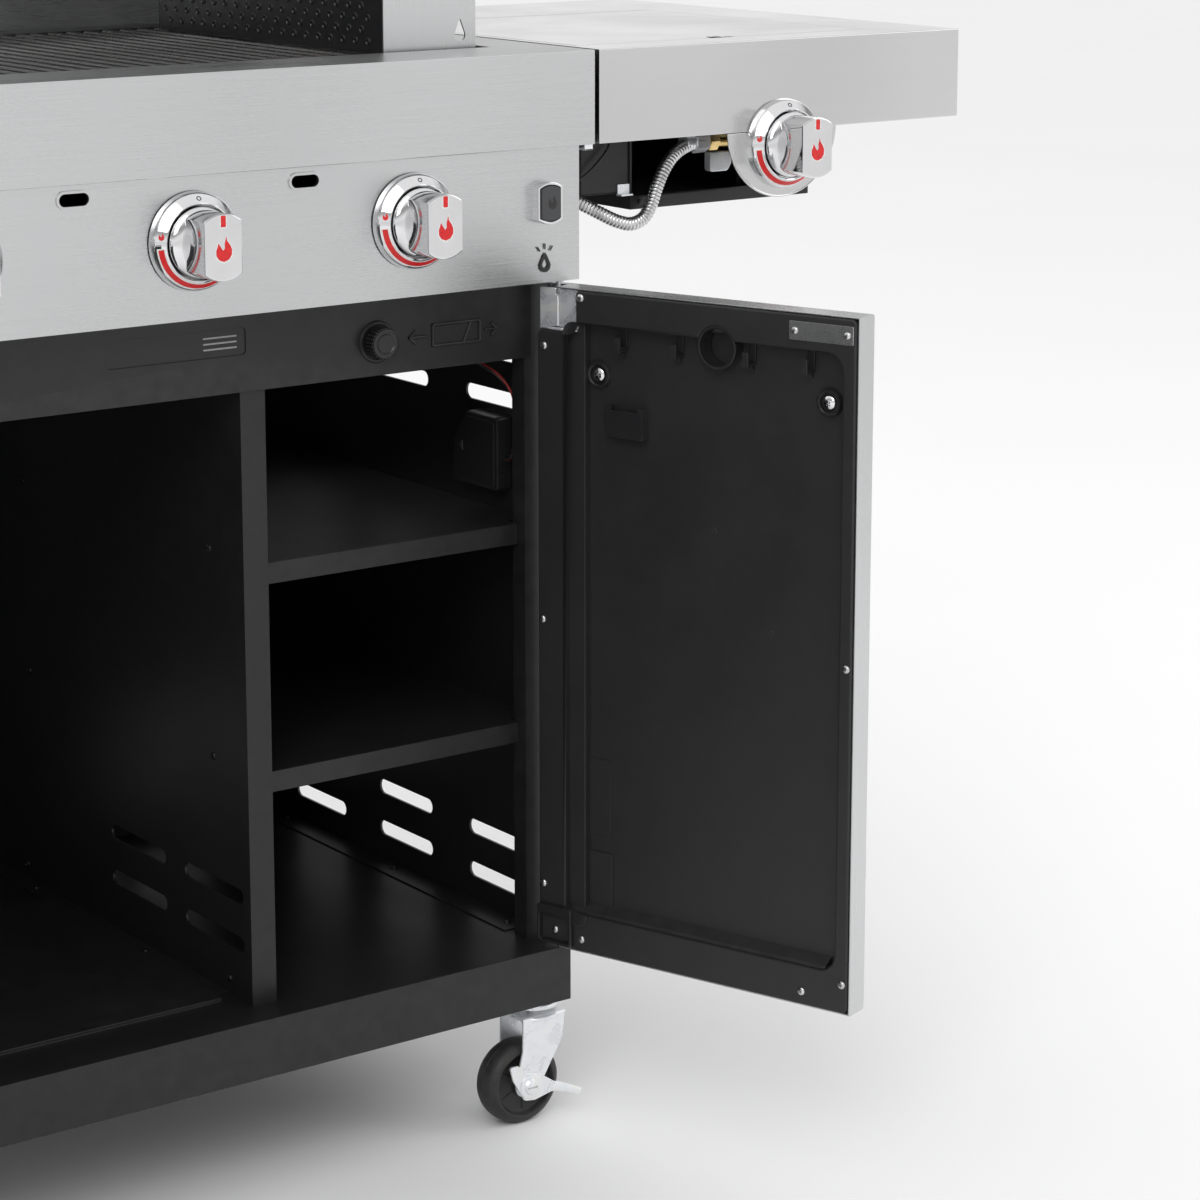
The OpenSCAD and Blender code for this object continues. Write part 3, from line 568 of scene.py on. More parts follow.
RUBBER = tread("wheel_rubber")
RED = painted("red_paint", (0.66, 0.008, 0.010))
WHITE = painted("white_paint", (0.75, 0.75, 0.74))
INK = painted("black_ink", (0.012, 0.012, 0.012))
# painted highlight: a pale grey that stands for the glint on glossy raised edges
PAINTED_HIGHLIGHT = painted("painted_highlight_grey", (0.30, 0.30, 0.30))
WIRE_RED = moulded("red_wire_sleeve", (0.30, 0.020, 0.016), 0.42, 2200)
DIAL = painted("dial_white", (0.80, 0.79, 0.76), 0.28)


# ---- CAD parts that keep their own shape ----
def keep(node, material):
    """Shows a CAD node with rounded edges and a material of its own."""
    made = frame["nodes"][node]
    made.data.materials.clear()
    made.data.materials.append(material)
    modify(made, "weld", "WELD", merge_threshold=0.00001)
    modify(made, "flat_faces", "DECIMATE", decimate_type="DISSOLVE", angle_limit=radians(0.6))
    modify(made, "rounded_edges", "BEVEL", width=0.6 * MM, segments=2, limit_method="ANGLE",
           angle_limit=radians(40), miter_outer="MITER_ARC")
    modify(made, "even_normals", "WEIGHTED_NORMAL", keep_sharp=False)


KEPT = (
    (BLACK, "base_tray side_panels back_panel divider_panel cabinet_shelves firebox side_burner_box"),
    (STEEL_X, "control_panel front_trim hood_shell"),
    (STEEL_Z, "end_baffles"),
    (SHELF, "side_shelf_right side_shelf_left side_burner_lid"),
    (HEATED, "emitter_plates main_burners"),
    (BRASS, "gas_valves stem_left stem_middle stem_right"),
    (GALVANISED, "manifold_pipe grease_tray"),
    (GLOSS_BLACK, "hood_ends"),
    (ZINC, "hinge_pins"),
)
for kept_material, kept_nodes in KEPT:
    for kept_node in kept_nodes.split():
        keep(kept_node, kept_material)


# ---- control panel ----
def build_bezel(piece, centre, front):
    """Polished cone round a knob, with its printed scale: a low-to-high arc, a flame and a start mark."""
    x, z = centre.x, centre.z
    piece.turned([(27, 0), (27, -10.8), (27.4, -11.3), (28.1, -11.5), (28.8, -11.1), (33.8, -6.9),
                  (34.7, -5.9), (35.4, -4.4), (36, -0.8), (36, 0), (27, 0)], (x, front, z), Y, 0, 96)

    def on_cone(r, lift):
        return r, front - 11.1 + (r - 28.8) * 0.84 - lift

    # a white arc, and a red one on it
    for inner, outer, lift, trim, material in ((28.9, 33.6, 0.06, 0, 2), (29.7, 32.8, 0.14, 1.6, 1)):
        section = [on_cone(inner, lift), on_cone(outer, lift), on_cone(outer, -0.3), on_cone(inner, -0.3)]
        piece.part_turned(section, (x, z), 184 + trim, 126 - 2 * trim, material)
    marks = ((168, flame_outline(0, 0, 6.0), [], 1), (90, ring((0, 0), 1.9, 24), [ring((0, 0), 1.2, 20)], 3))
    for angle, shape, holes, material in marks:
        r, depth = on_cone(31.3, 0.0)
        out = Vector((cos(radians(angle)), 0, sin(radians(angle))))
        normal = (out * 4.2 + Vector((0, -5.0, 0))).normalized()
        up = (Z - normal * normal.z).normalized()
        place = Matrix((up.cross(normal), -normal, up)).transposed().to_4x4()
        place.translation = (x + r * out.x, depth, z + r * out.z)
        piece.plate(shape, -0.14, 0.3, holes=holes, edge=0.04, material=material, matrix=place)


def build_knob(node):
    """A chrome knob: domed base, tall flat-sided grip with arched ends, pointer and flame."""
    x, z = middle(node).x, middle(node).z
    front, back = span(node)[0].y, span(node)[1].y
    piece = Piece(node + "_finished", node, [CHROME, RED, WHITE, INK])
    piece.turned([(4.6, 0.3), (24.8, 0), (25.6, -0.3), (26, -1.2), (26, -7.6), (25.6, -8.8), (24.6, -10.2),
                  (22.6, -11.6), (19.6, -12.8), (16.2, -13.4), (4.6, -13.5), (4.6, 0.3)],
                 (x, back, z), Y, 0, 96)
    piece.turned([(4.6, 0.1), (6.5, 0.1), (6.9, -0.6), (6.9, -3.4), (4.6, -3.4), (4.6, 0.1)],
                 (x, back, z), Y, 3, 32)
    radius = 24.0
    piece.plate(arched(x, z, 15.2, radius), front + 0.05, back - 12, edge=1.3)
    top = z + radius - 1.4
    # the pointer, then the flame, each red on white
    for less, depth, material in ((0, front, 2), (0.9, front - 0.1, 1)):
        pointer = rectangle(x - 2.9 + less, top - 9 + less, x + 2.9 - less, top, 0.7)
        piece.plate(pointer, depth, front + 1, edge=0.05, material=material)
    for height, depth, material in ((20.4, front, 2), (18, front - 0.1, 1)):
        piece.plate(flame_outline(x, z - 1, height), depth, front + 1, edge=0.05, material=material)
    piece.done("chrome", node)


def build_panel_fittings():
    bezels = Piece("bezels", "cart", [CHROME, RED, WHITE, INK])
    for node in ("knob_left", "knob_middle", "knob_right"):
        build_bezel(bezels, middle(node), span("control_panel")[0].y)
        build_knob(node)
    side = middle("side_knob")
    build_bezel(bezels, side, span("side_shelf_right")[0].y)
    bezels.done("chrome", "knob_bezels")
    # half disc that hangs below the shelf behind the side knob, with a rolled edge
    backing = Piece("side_knob_backing_plate", "cart", [SHELF])
    hang = ring((side.x, 790), 55, 61, 182.4, 175.2)
    backing.plate(hang, 0, 1.5, holes=[ring((side.x, side.z - 0.5), 8.6, 40)], edge=0.5)
    backing.tube([(px, 0.75, pz) for px, pz in hang], 1.0, 0, 10)
    backing.done("chrome")
    build_knob("side_knob")


build_panel_fittings()


# ---- screws, made once and stamped where they sit ----
def cross_head(radius, height):
    """Pan-head screw with a real cross recess, its seat at the origin and its head along +Z."""
    dome, cross = Piece("dome", "cart", []), Piece("cross", "cart", [])
    curve = [(radius * cos(a), height * (0.30 + 0.70 * sin(a))) for a in (0, 0.25, 0.5, 0.8, 1.1, 1.35)]
    dome.turned([(0, -1.0), (radius, -1.0)] + curve + [(0, height)], (0, 0, 0), Z, 0, 36)
    wide, narrow = radius * 0.58, radius * 0.20
    slot = [(-wide, height * 1.6), (-narrow, height * 0.05), (narrow, height * 0.05), (wide, height * 1.6)]
    for quarter in (0, 90):
        cross.plate(slot, -radius * 0.11, radius * 0.11, edge=0.02, matrix=turned_to((0, 0, 0), quarter, "Z"))
    shapes = [show(piece.name, mesh_from(piece.bm, piece.name)) for piece in (dome, cross)]
    modify(shapes[0], "cut", "BOOLEAN", operation="DIFFERENCE", solver="EXACT", object=shapes[1],
           use_self=True)
    bpy.context.view_layer.update()
    made = bpy.data.meshes.new_from_object(shapes[0].evaluated_get(bpy.context.evaluated_depsgraph_get()))
    for shape in shapes:
        bpy.data.objects.remove(shape)
    return made


SMALL_SCREW = cross_head(3.1, 2.0)
LARGE_SCREW = cross_head(5.6, 3.4)


def screws(name, body, places, axis, template=SMALL_SCREW, material=BRIGHT, slot="zinc", **how):
    piece = Piece(name, body, [material], **how)
    for place in places:
        piece.stamp(template, place, axis, random.uniform(0, 90))
    piece.done(slot, sharp=28)


# ---- doors, drawn as the right one, shut ----
PANEL_D = span("control_panel")[0].y + 1.2
DOOR_FACE = PANEL_D + 24
DOOR_LOW, DOOR_HIGH = span("door_right_skin")[0].z, span("door_right_skin")[1].z
HINGE_X = pin_of("door_right_hinge").x + 11
HANDLE_Z = middle("door_right_handle").z


def build_door(side, x0, has_pocket):
    """A door from its free edge at x0 to its hinge: folded stainless skin, handle, and moulded liner."""
    how = {"swing": swung("door_%s_hinge" % side), "mirrored": side == "left"}
    body = "door_" + side
    skin = Piece(body + "_skin_folded", body, [STEEL_Z], **how)
    x1, z0, z1 = HINGE_X, DOOR_LOW, DOOR_HIGH
    skin.plate(rectangle(x0, z0, x1, z1, 1.6), PANEL_D, PANEL_D + 2.6, edge=1.1)
    # the folded edges: deep from the free edge round to the seam, and shallow beside the hinge
    sheet = 1.4
    for seam, side_x, inner, back in ((x1 - 20, x0, x0 + sheet, DOOR_FACE - 2),
                                      (x1 - 20.5, x1, x1 - sheet, PANEL_D + 8)):
        skin.plate([(seam, z0), (seam, z0 + sheet), (inner, z0 + sheet), (inner, z1 - sheet),
                    (seam, z1 - sheet), (seam, z1), (side_x, z1), (side_x, z0)],
                   PANEL_D + 1.3, back, edge=0.5)
    skin.done("stainless", body + "_skin")
    build_liner(body, how, x0, has_pocket)
    build_door_hardware(body, how, x0)


def build_liner(body, how, x0, has_pocket):
    """The moulded inner side: a sunk field with hooks, a cup, seats for screws and a hinge shoe."""
    liner = Piece(body + "_liner_moulded", body, [PLASTIC, SMOOTH_PLASTIC], **how)
    face, right = DOOR_FACE, HINGE_X
    z0, z1 = DOOR_LOW + 1.6, DOOR_HIGH - 1.6
    left, low, high = x0 + 13, z0 + 31, z1 - 26
    strip, floor = right - 28, face - 13
    knob = middle("rail_thumb_knob")
    spot = (knob.x, knob.z)
    lean = degrees(asin((high - knob.z) / 16.5))
    bump = ring(spot, 16.5, 20, lean, 180 - 2 * lean) if has_pocket else []
    recess = rounded([(left, low), (strip, low), (strip, high)] + bump + [(left, high)],
                     [14, 5, 8] + [0] * len(bump) + [14])
    rim = [(x0 + 1.7, z0), (right - 2, z0), (right - 2, DOOR_HIGH - 34), (right - 38, DOOR_HIGH - 34),
           (right - 38, z1), (x0 + 1.7, z1)]
    liner.plate(rounded(rim, [4, 2, 5, 7, 3, 4]), PANEL_D + 3, face, holes=[recess], edge=2.0)
    liner.plate(rectangle(left - 4, low - 4, strip + 4, high + 4, 8), PANEL_D + 3, floor, edge=0.5,
                holes=[ring(spot, 14.4, 40)] if has_pocket else [])
    liner.plate(rectangle(strip - 15, low - 3, strip + 3, high + 2, 2), PANEL_D + 4, face - 6, edge=1.2)
    # sloped ledge along the bottom of the recess
    liner.plate([(floor - 1, low - 3), (face - 1.5, low - 3), (face - 3, low + 2.5), (floor - 1, low + 8)],
                left + 9, strip - 3, "X", edge=0.8)
    # raised panels near the lower hinge, and injection marks
    for reach, bottom, top, corner, lift, edge in ((37, -3, 50, 3, 1.5, 0.7), (35, 63, 126, 2, 0.9, 0.5)):
        panel = rectangle(strip - reach, low + bottom, strip - 2, low + top, corner)
        liner.plate(panel, floor - 2, floor + lift, edge=edge)
    for x, z in offset(left, low, (66, 250), (118, 322), (96, 84)):
        liner.turned([(0, 0), (2.6, 0), (3.0, -0.5), (3.0, -1), (0, -1)], (x, floor + 0.3, z), Y, 0, 20)
    if has_pocket:
        liner.plate(ring(spot, 17.2, 56), floor - 3, face - 1.2, edge=1.0, material=1,
                    holes=[ring(spot, 14.6, 56)])
        liner.plate(ring(spot, 17.5, 40), PANEL_D + 3, PANEL_D + 6, edge=0.4)
    # hooks, each with a rib under it
    for k in range(4):
        x = x0 + (46 + 51 * k + (13 if k > 1 else 0)) * (1 if has_pocket else 1.32)
        hook = offset(floor, high, (-1, -18), (12.4, -18), (12.4, -7), (9.8, -7), (9.8, -15), (2, -15),
                      (2, 2), (-1, 2))
        rib = offset(floor, high, (-1, -26), (5, -17.5), (-1, -17.5))
        liner.plate(hook, x - 3, x + 3, "X", edge=0.7, material=1)
        liner.plate(rib, x - 1, x + 1, "X", edge=0.3, material=1)
    # cup for tools: a notched front and a wall round three sides
    cup = right - 97, HANDLE_Z - 46
    front = offset(*cup, (0, 0), (34, 0), (34, 24), (29, 24), (29, 21), (5, 21), (5, 24), (0, 24))
    wall = offset(*cup, (0, 0), (34, 0), (34, 24), (32, 24), (32, 2), (2, 2), (2, 24), (0, 24))
    liner.plate(front, floor + 6.4, floor + 9, edge=0.7, material=1)
    liner.plate(wall, floor - 1, floor + 7.4, edge=0.5)
    # seats of the handle's screws
    seats = [(x0 + 30, floor, HANDLE_Z), (right - 52.5, floor, HANDLE_Z)]
    for seat in seats:
        liner.turned([(7.6, 1), (7.6, -3.2), (8.2, -3.9), (9.8, -3.9), (10.4, -3.2), (11.4, 0.2),
                      (7.6, 1)][::-1], seat, -Y, 1, 40)
    # lower hinge block: a shoe with a sunk front for its screw, and a wedge running into the recess
    shoe = right - 36, z0 + 34
    liner.plate(rectangle(shoe[0], z0 + 2, right - 2.5, shoe[1], 2.5), face - 3, face + 4.6, edge=1.2,
                material=1, holes=[rectangle(shoe[0] + 3, z0 + 5, right - 5.5, shoe[1] - 8, 2)])
    wedge = offset(*shoe, (-14, -3), (-11, -12), (2, -14), (2, -1))
    liner.plate(wedge, floor - 1, face + 1.5, edge=1.2, material=1)
    liner.done("black_plastic", body + "_liner")
    on_face = (offset(right, DOOR_HIGH, (-43, -6.7), (-8.5, -46.5)) + [(right - 6.6, 418)]
               + offset(right, DOOR_LOW, (-6.6, 51.5), (-43.2, 11.7))
               + offset(x0, DOOR_LOW, (41, 12.2), (6.1, 24.4), (6.1, 269)))
    places = [(x, face - 0.2, z) for x, z in on_face] + [(right - 18, face - 0.1, DOOR_LOW + 15)]
    screws(body + "_screws", body, places, Y, **how)
    seats = [Vector(seat) + 0.6 * Y for seat in seats]
    screws(body + "_handle_screws", body, seats, Y, LARGE_SCREW, CHROME, "chrome", **how)


def build_door_hardware(body, how, x0):
    """Handle, magnet strip, and a zinc hinge plate folded down its middle."""
    magnet = Piece(body + "_magnet_plate", body, [STEEL_X, BRIGHT], **how)
    strip_z = DOOR_HIGH - 13.5
    strip = rectangle(x0 + 3.6, strip_z - 7, x0 + 58, strip_z + 7, 1)
    magnet.plate(strip, DOOR_FACE - 0.4, DOOR_FACE + 0.9, edge=0.3)
    for x in (x0 + 8.5, x0 + 53):
        magnet.stamp(SMALL_SCREW, (x, DOOR_FACE + 0.8, strip_z), Y, 20, 1, 0.85)
    magnet.done("stainless")
    hinge = Piece(body + "_hinge_plate", body, [ZINC], **how)
    a, b, top = HINGE_X - 37.4, HINGE_X - 2.2, DOOR_HIGH - 1.8
    fold = (a + b) / 2 + 1
    outline = [(a, top - 31), (fold, top - 29.5), (b, top - 30.5), (b, top),
               *offset(fold, top, (2, 0), (2, -5), (-2, -5), (-2, 0)), (a, top)]
    hinge.plate(rounded(outline, [2, 0, 2, 1, 1, 0.8, 0.8, 1, 1]), DOOR_FACE - 6, DOOR_FACE - 4, edge=0.4)
    curl = [(a + 0.5 + (b - a - 1) * k / 12, DOOR_FACE - 4.5 + 2.6 * sin(pi * k / 12), top - 31)
            for k in range(13)]
    hinge.tube(curl, 1.2, 0, 10)
    hinge.block((fold - 0.5, DOOR_FACE - 5, top - 29), (fold + 0.6, DOOR_FACE - 3.4, top - 6), 0.4)
    hinge.done("zinc")
    handle = Piece(body + "_handle_bar", body, [STEEL_X, SATIN_CHROME], **how)
    start, end = x0 + 22.5, HINGE_X - 45
    bar = capped([(0, 0), (5.7, 0), (7.1, 0.7), (7.5, 2.0)], end - start)
    handle.turned(bar, (start, PANEL_D - 25, HANDLE_Z), X, 0, 48)
    for x in (start + 7.5, end - 7.5):
        handle.turned([(0, 0), (5.0, 0), (5.0, 12), (5.4, 16), (6.8, 19.4), (8.6, 20.6), (9.0, 21.2),
                       (9.0, 22.6), (8.4, 23), (0, 23)], (x, PANEL_D - 23, HANDLE_Z), Y, 1, 48)
    handle.done("shelf_steel", body + "_handle")


DOOR_SEAM, DOOR_GAP = 46.0, 1.5
build_door("right", DOOR_SEAM + DOOR_GAP, True)
build_door("left", -DOOR_SEAM + DOOR_GAP, False)


# ---- ignition button, its mark, and the rail ----
def build_ignition():
    x, z = middle("igniter_button").x, middle("igniter_button").z
    front = span("igniter_button")[0].y

    def outline(less):
        return arched(x, z, 11.5 - less, 19 - less, 2.8, 16)

    collar = Piece("ignition_collar", "cart", [CHROME, SMOOTH_PLASTIC])
    bore = [ring((x, z), 6.5, 32)]
    collar.plate(outline(0), PANEL_D - 9, PANEL_D + 0.3, edge=0.8, holes=[outline(2.1)])
    collar.plate(centred(x, z, 8.9, 11.9, 1), PANEL_D - 0.9, PANEL_D + 5, edge=0.4, material=1, holes=bore)
    collar.plate(centred(x, z, 11, 14, 1.5), PANEL_D + 3, 40, edge=0.8, material=1, holes=bore)
    collar.done("chrome", "igniter_collar")
    button = Piece("ignition_button", "igniter_button", [GREY, INK])
    button.plate(outline(2.7), front + 0.1, PANEL_D - 4.6, edge=1.0)
    button.turned([(0, 0), (5.8, 0), (5.8, 20), (5.2, 22.4), (0, 22.4)], (x, PANEL_D - 5, z), Y, 0, 32)
    button.plate(flame_outline(x + 1, z + 1, 11), front - 0.05, front + 1, edge=0.05, material=1)
    button.done("button_grey", "igniter_button")
    mark = Piece("ignition_mark", "cart", [INK])
    low = z - 41
    drop = drop_outline(x, low - 5, 15.5)
    heart = Vector((x, low - 6))
    face = PANEL_D - 1.3
    mark.plate(drop, face, face + 0.4, holes=[[heart + (Vector(p) - heart) * 0.52 for p in drop]], edge=0.04)
    for lean in (-35, 0, 35):
        ray = turned_to((x, 0, low - 3), lean)
        mark.plate(rectangle(-0.55, 8.0, 0.55, 12.4), face, face + 0.4, edge=0.04, matrix=ray)
    mark.done("cap_black")


def build_rail():
    """Black rail under the control panel: pressed sheet, raised signs, pale bars of painted highlight in its
    slot, and a knurled thumb knob.
    """
    lo, hi = span("front_rail")
    knob = middle("rail_thumb_knob")
    front = span("rail_thumb_knob")[0].y
    face = lo.y + 2.5
    slot_z, sign_z = 660, 648
    rail = Piece("front_rail_pressed", "cart", [BLACK])
    rail.plate(rectangle(lo.x, lo.z, hi.x, hi.z, 0.6), face, face + 2, edge=0.5,
               holes=[ring((knob.x, knob.z), 4.3, 24), centred(0, slot_z, 57, 10, 3)])
    rail.plate(centred(0, slot_z, 60, 13, 3), face + 1.0, face + 2.4, edge=0.4)
    rail.plate(rectangle(lo.x + 19.5, face + 0.6, hi.x - 19.5, hi.y, 1.5), lo.z, lo.z + 1.6, "Z", edge=0.4)
    rail.done("black_steel", "front_rail")

    thumb = Piece("rail_thumb_knob_knurled", "rail_thumb_knob", [SMOOTH_PLASTIC, PLASTIC])
    teeth = [(knob.x + r * cos(a), knob.z + r * sin(a))
             for k in range(26) for r, a in ((10.9, k * tau / 26), (12.3, (k + 0.3) * tau / 26),
                                             (12.3, (k + 0.7) * tau / 26))]
    thumb.plate(teeth, front + 1.2, front + 10.4, edge=0.5)
    thumb.turned([(0, 1.1), (6.8, 1.1), (7.6, 0.3), (9.6, 0), (11.0, 0.4), (11.6, 1.4), (11.6, 2.4),
                  (0, 2.4)], (knob.x, front, knob.z), Y, 0, 56)
    thumb.turned([(0, 0), (4, 0), (4, 6), (8, 6), (8, 10), (4, 10), (4, 18), (0, 18)],
                 (knob.x, front + 10, knob.z), Y, 1, 32)
    thumb.done("black_plastic", "rail_thumb_knob")

    relief = Piece("rail_relief", "cart", [BLACK, PAINTED_HIGHLIGHT])
    relief.turned([(13, 0.4), (13, -1.2), (13.6, -2.0), (15.2, -2.0), (16, -1.2), (16.4, 0.4), (13, 0.4)],
                  (knob.x, face, knob.z), Y, 0, 56)
    # a framed slash between two arrows, as raised lines
    back = face - 0.8
    low, high = sign_z - 8, sign_z + 8
    corners = [(220, low), (220, high), (263, high), (263, low), (220, low)]
    lines = list(zip(corners, corners[1:])) + [((248, low), (255, high))]
    for left, right, tip, barb in ((199, 213, 199, 204), (268, 279, 279, 274)):
        point = (tip, sign_z)
        lines += [((left, sign_z), (right, sign_z)),
                  ((barb, sign_z + 4.5), point), (point, (barb, sign_z - 4.5))]
    for start, end in lines:
        relief.tube([(x, back + 0.2, z) for x, z in (start, end)], 1.15, 0, 10)
        for x, z in (start, end):
            relief.turned([(0, -0.95), (0.8, -0.7), (1.15, 0), (1.15, 0.9), (0, 0.9)], (x, back, z), Y, 0, 12)
    # three pale bars in the slot: painted highlights standing for glossy edges
    for lift in (4.4, 0.2, -4.0):
        relief.plate(centred(36, slot_z + lift, 14, 0.6, 0.5), face + 0.8, face + 1.4, edge=0.1, material=1)
    relief.done("black_steel")


build_ignition()
build_rail()


# ---- grates, baffles and burners ----
def build_baffles():
    lo, hi = span("baffle_walls")
    reach = 84
    inner = hi.x - reach
    dimple = [(3.4, 0.3), (3.1, -0.5), (2.5, -0.9), (2.1, -0.5), (1.7, 0.5), (0, 0.9)]
    for side, replaced in (("right", ["baffle_walls"]), ("left", [])):
        wall = Piece("baffle_wall_" + side, "cart", [GLOSS_BLACK], mirrored=side == "left")
        wall.plate(rectangle(lo.y, lo.z, hi.y, hi.z, 0.6), inner, inner + 1.5, "X", edge=0.3)
        wall.plate(rectangle(inner, lo.z, inner + reach, hi.z, 0.6), hi.y - 1.5, hi.y, edge=0.3)
        for row in range(8):
            for column in range(18):
                depth = lo.y + 20 + 18 * column + 9 * (row % 2)
                wall.turned(dimple, (inner, depth, lo.z + 10 + 9 * row), X, 0, 12)
        wall.done("black_steel", *replaced)


def build_grates():
    lo, hi = span("cooking_grates")
    wide, pitch, bars = 192.0, 196.0, 12
    step = (wide - 9) / (bars - 1)
    centre = (lo.y + hi.y) / 2
    for side, x0, replaced in (("left", -pitch, []), ("middle", 0, ["cooking_grates"]), ("right", pitch, [])):
        grate = Piece("grate_" + side, "cart", [IRON])
        x0 -= wide / 2
        for i in range(bars):
            section = offset(x0 + i * step, hi.z, (1.6, -11), (7.4, -11), (9, 0), (0, 0))
            grate.plate(rounded(section, [1, 1, 2.4, 2.4], 3), lo.y + 1, hi.y - 1, edge=0.9)
        for d0, d1 in ((lo.y, lo.y + 8), (hi.y - 8, hi.y), (centre - 4, centre + 4)):
            grate.block((x0, d0, hi.z - 14), (x0 + wide, d1, hi.z - 6), 1.8)
        grate.done("cast_iron", *replaced)


def build_side_burner():
    head = Piece("side_burner_head_ported", "cart", [HEATED, BRIGHT])
    lo, hi = span("side_burner_head")
    x, y = middle("side_burner_head").x, middle("side_burner_head").y
    base = hi.z - 22
    head.turned([(0, 0), (29, 0), (31, 1), (37.2, 10), (37.6, 12), (36.4, 13), (36.4, 17.4), (37.4, 18),
                 (37, 19.6), (33, 21.8), (0, 21.8)], (x, y, base), Z, 0, 96)
    head.turned(rod(8.8, base - lo.z + 1), (x, y, lo.z), Z, 1, 32)
    for k in range(36):
        port = turned_to((x, y, base + 15.2), 10 * k, "Z")
        head.block((35.6, -1.0, -1.7), (37.8, 1.0, 1.7), 0.5, 1, port)
    head.done("burner_steel", "side_burner_head")
    grate = Piece("side_burner_pan_support", "cart", [IRON])
    lo, hi = span("side_burner_grate")
    wire, outer = 3, 109
    top = hi.z - wire
    for r in (47, outer):
        grate.tube([(px, py, top) for px, py in ring((x, y), r, 72)], wire, 0, 10, closed=True)
    for k in range(8):
        a = radians(45 * k)
        bar = [(x + r * cos(a), y + r * sin(a), top + lift)
               for r, lift in ((42, -3), (46, 0), (60, 0.8), (90, 0.8), (outer, 0))]
        grate.tube(smooth_path(bar, 3), wire, 0, 10)
        if k % 2:
            leg = x + (outer - 3) * cos(a), y + (outer - 3) * sin(a)
            grate.tube([(*leg, top), (*leg, top - 60), (*leg, lo.z + 2)], 2.6, 0, 10)
    grate.done("cast_iron", "side_burner_grate")


def build_burner_fittings():
    """Hanging plate, bracket, valve bracket and spark wire seen under the right side shelf."""
    low = span("side_burner_box")[0].z
    fittings = Piece("side_burner_fittings", "cart", [BLACK, ZINC, GLOSS_BLACK])
    shelf_underside = 789.5
    fittings.block((377, 57.5, low + 14), (423, 59, shelf_underside), 0.5)
    fittings.block((377, 57.5, low + 14), (423, 70, low + 15.5), 0.5)
    fittings.block((412, 51, low + 12), (423.6, 58, low + 13.4), 0.4, 1)
    fittings.block((412, 56, low + 12), (423.6, 57.4, low + 21), 0.4, 1)
    fittings.plate(rounded([(497, 752), (515, 752), (519, 758), (519, 768), (497, 768)], [3, 3, 2, 1, 1]),
                   46, 54, edge=1.0, material=1)
    spark_wire = [(366, 52, 752), (376, 51, 757), (388, 51, 766), (399, 52, 777), (404, 55, 787)]
    fittings.tube(smooth_path(spark_wire, 5), 1.1, 2, 10)
    fittings.block((432, 54.5, low + 4), (436, 56.5, low + 8), 0.6, 2)
    fittings.done("black_steel")


build_baffles()
build_grates()
build_side_burner()
build_burner_fittings()


# ---- gas hose and wires, on part.scad's routes ----
HOSE = [(320.4, 72, 752), (334, 71, 752), (347, 67, 748.5), (362, 62, 742), (376, 56, 734.5), (389, 50, 727),
        (403, 45.5, 719.8), (416, 43.5, 716.8), (427.5, 43, 720.5), (435, 43, 730.5), (441.5, 44, 744),
        (449.5, 45, 757.5), (461, 47, 768.3), (476, 49, 774.5), (493.5, 50, 777)]
WIRES = [(320, 82, 531), (320, 75, 533), (321, 70, 546), (321, 67, 564), (319, 67, 582), (314, 70, 594),
         (307, 77, 604), (301, 87, 610), (297, 88, 618), (295.5, 82, 632), (296, 74, 648), (298, 66, 666),
         (299, 61.5, 684), (299, 60, 704), (299, 60, 720), (299, 57, 736), (299, 49, 745), (299, 40, 747)]


def evenly(points, step):
    """Points at equal distances along a smooth route."""
    path = smooth_path(points, 24)
    made, left = [path[0]], step
    for a, b in zip(path, path[1:]):
        length = (b - a).length
        while left <= length:
            made.append(a.lerp(b, left / length))
            left += step
        left -= length
    return made


def build_hose():
    hose = Piece("gas_hose_corrugated", "cart", [BRIGHT, ZINC, BRASS, RUBBER])
    route = evenly(HOSE, 0.72)
    wave = [4.9, 5.4, 5.6, 5.4]
    hose.tube(route, [wave[i % 4] for i in range(len(route))], 0, 18)
    end = Vector(HOSE[-1])
    hose.plate(ring((end.y, end.z), 9.2, 6, 30), end.x - 12, end.x + 1, "X", edge=0.8, material=1)
    hose.turned([(0, 0), (6.6, 0), (6.9, 0.6), (6.9, 9), (6.4, 9.6), (0, 9.6)], end - 21 * X, X, 1, 32)
    hose.plate(ring((end.y, end.z), 8.4, 6), end.x + 2, end.x + 11, "X", edge=0.7, material=2)
    wall = span("side_panels")[1].x
    hose.turned([(5.6, -4), (10.6, -4), (13, -3.2), (13, -0.2), (10.8, 0), (10.8, 2.4), (13, 2.6), (13, 5),
                 (10.6, 5.8), (5.6, 5.8), (5.6, -4)], (wall - 2, HOSE[1][1] + 0.6, HOSE[1][2]), X, 3, 40)
    hose.done("hose_steel", "gas_hose")


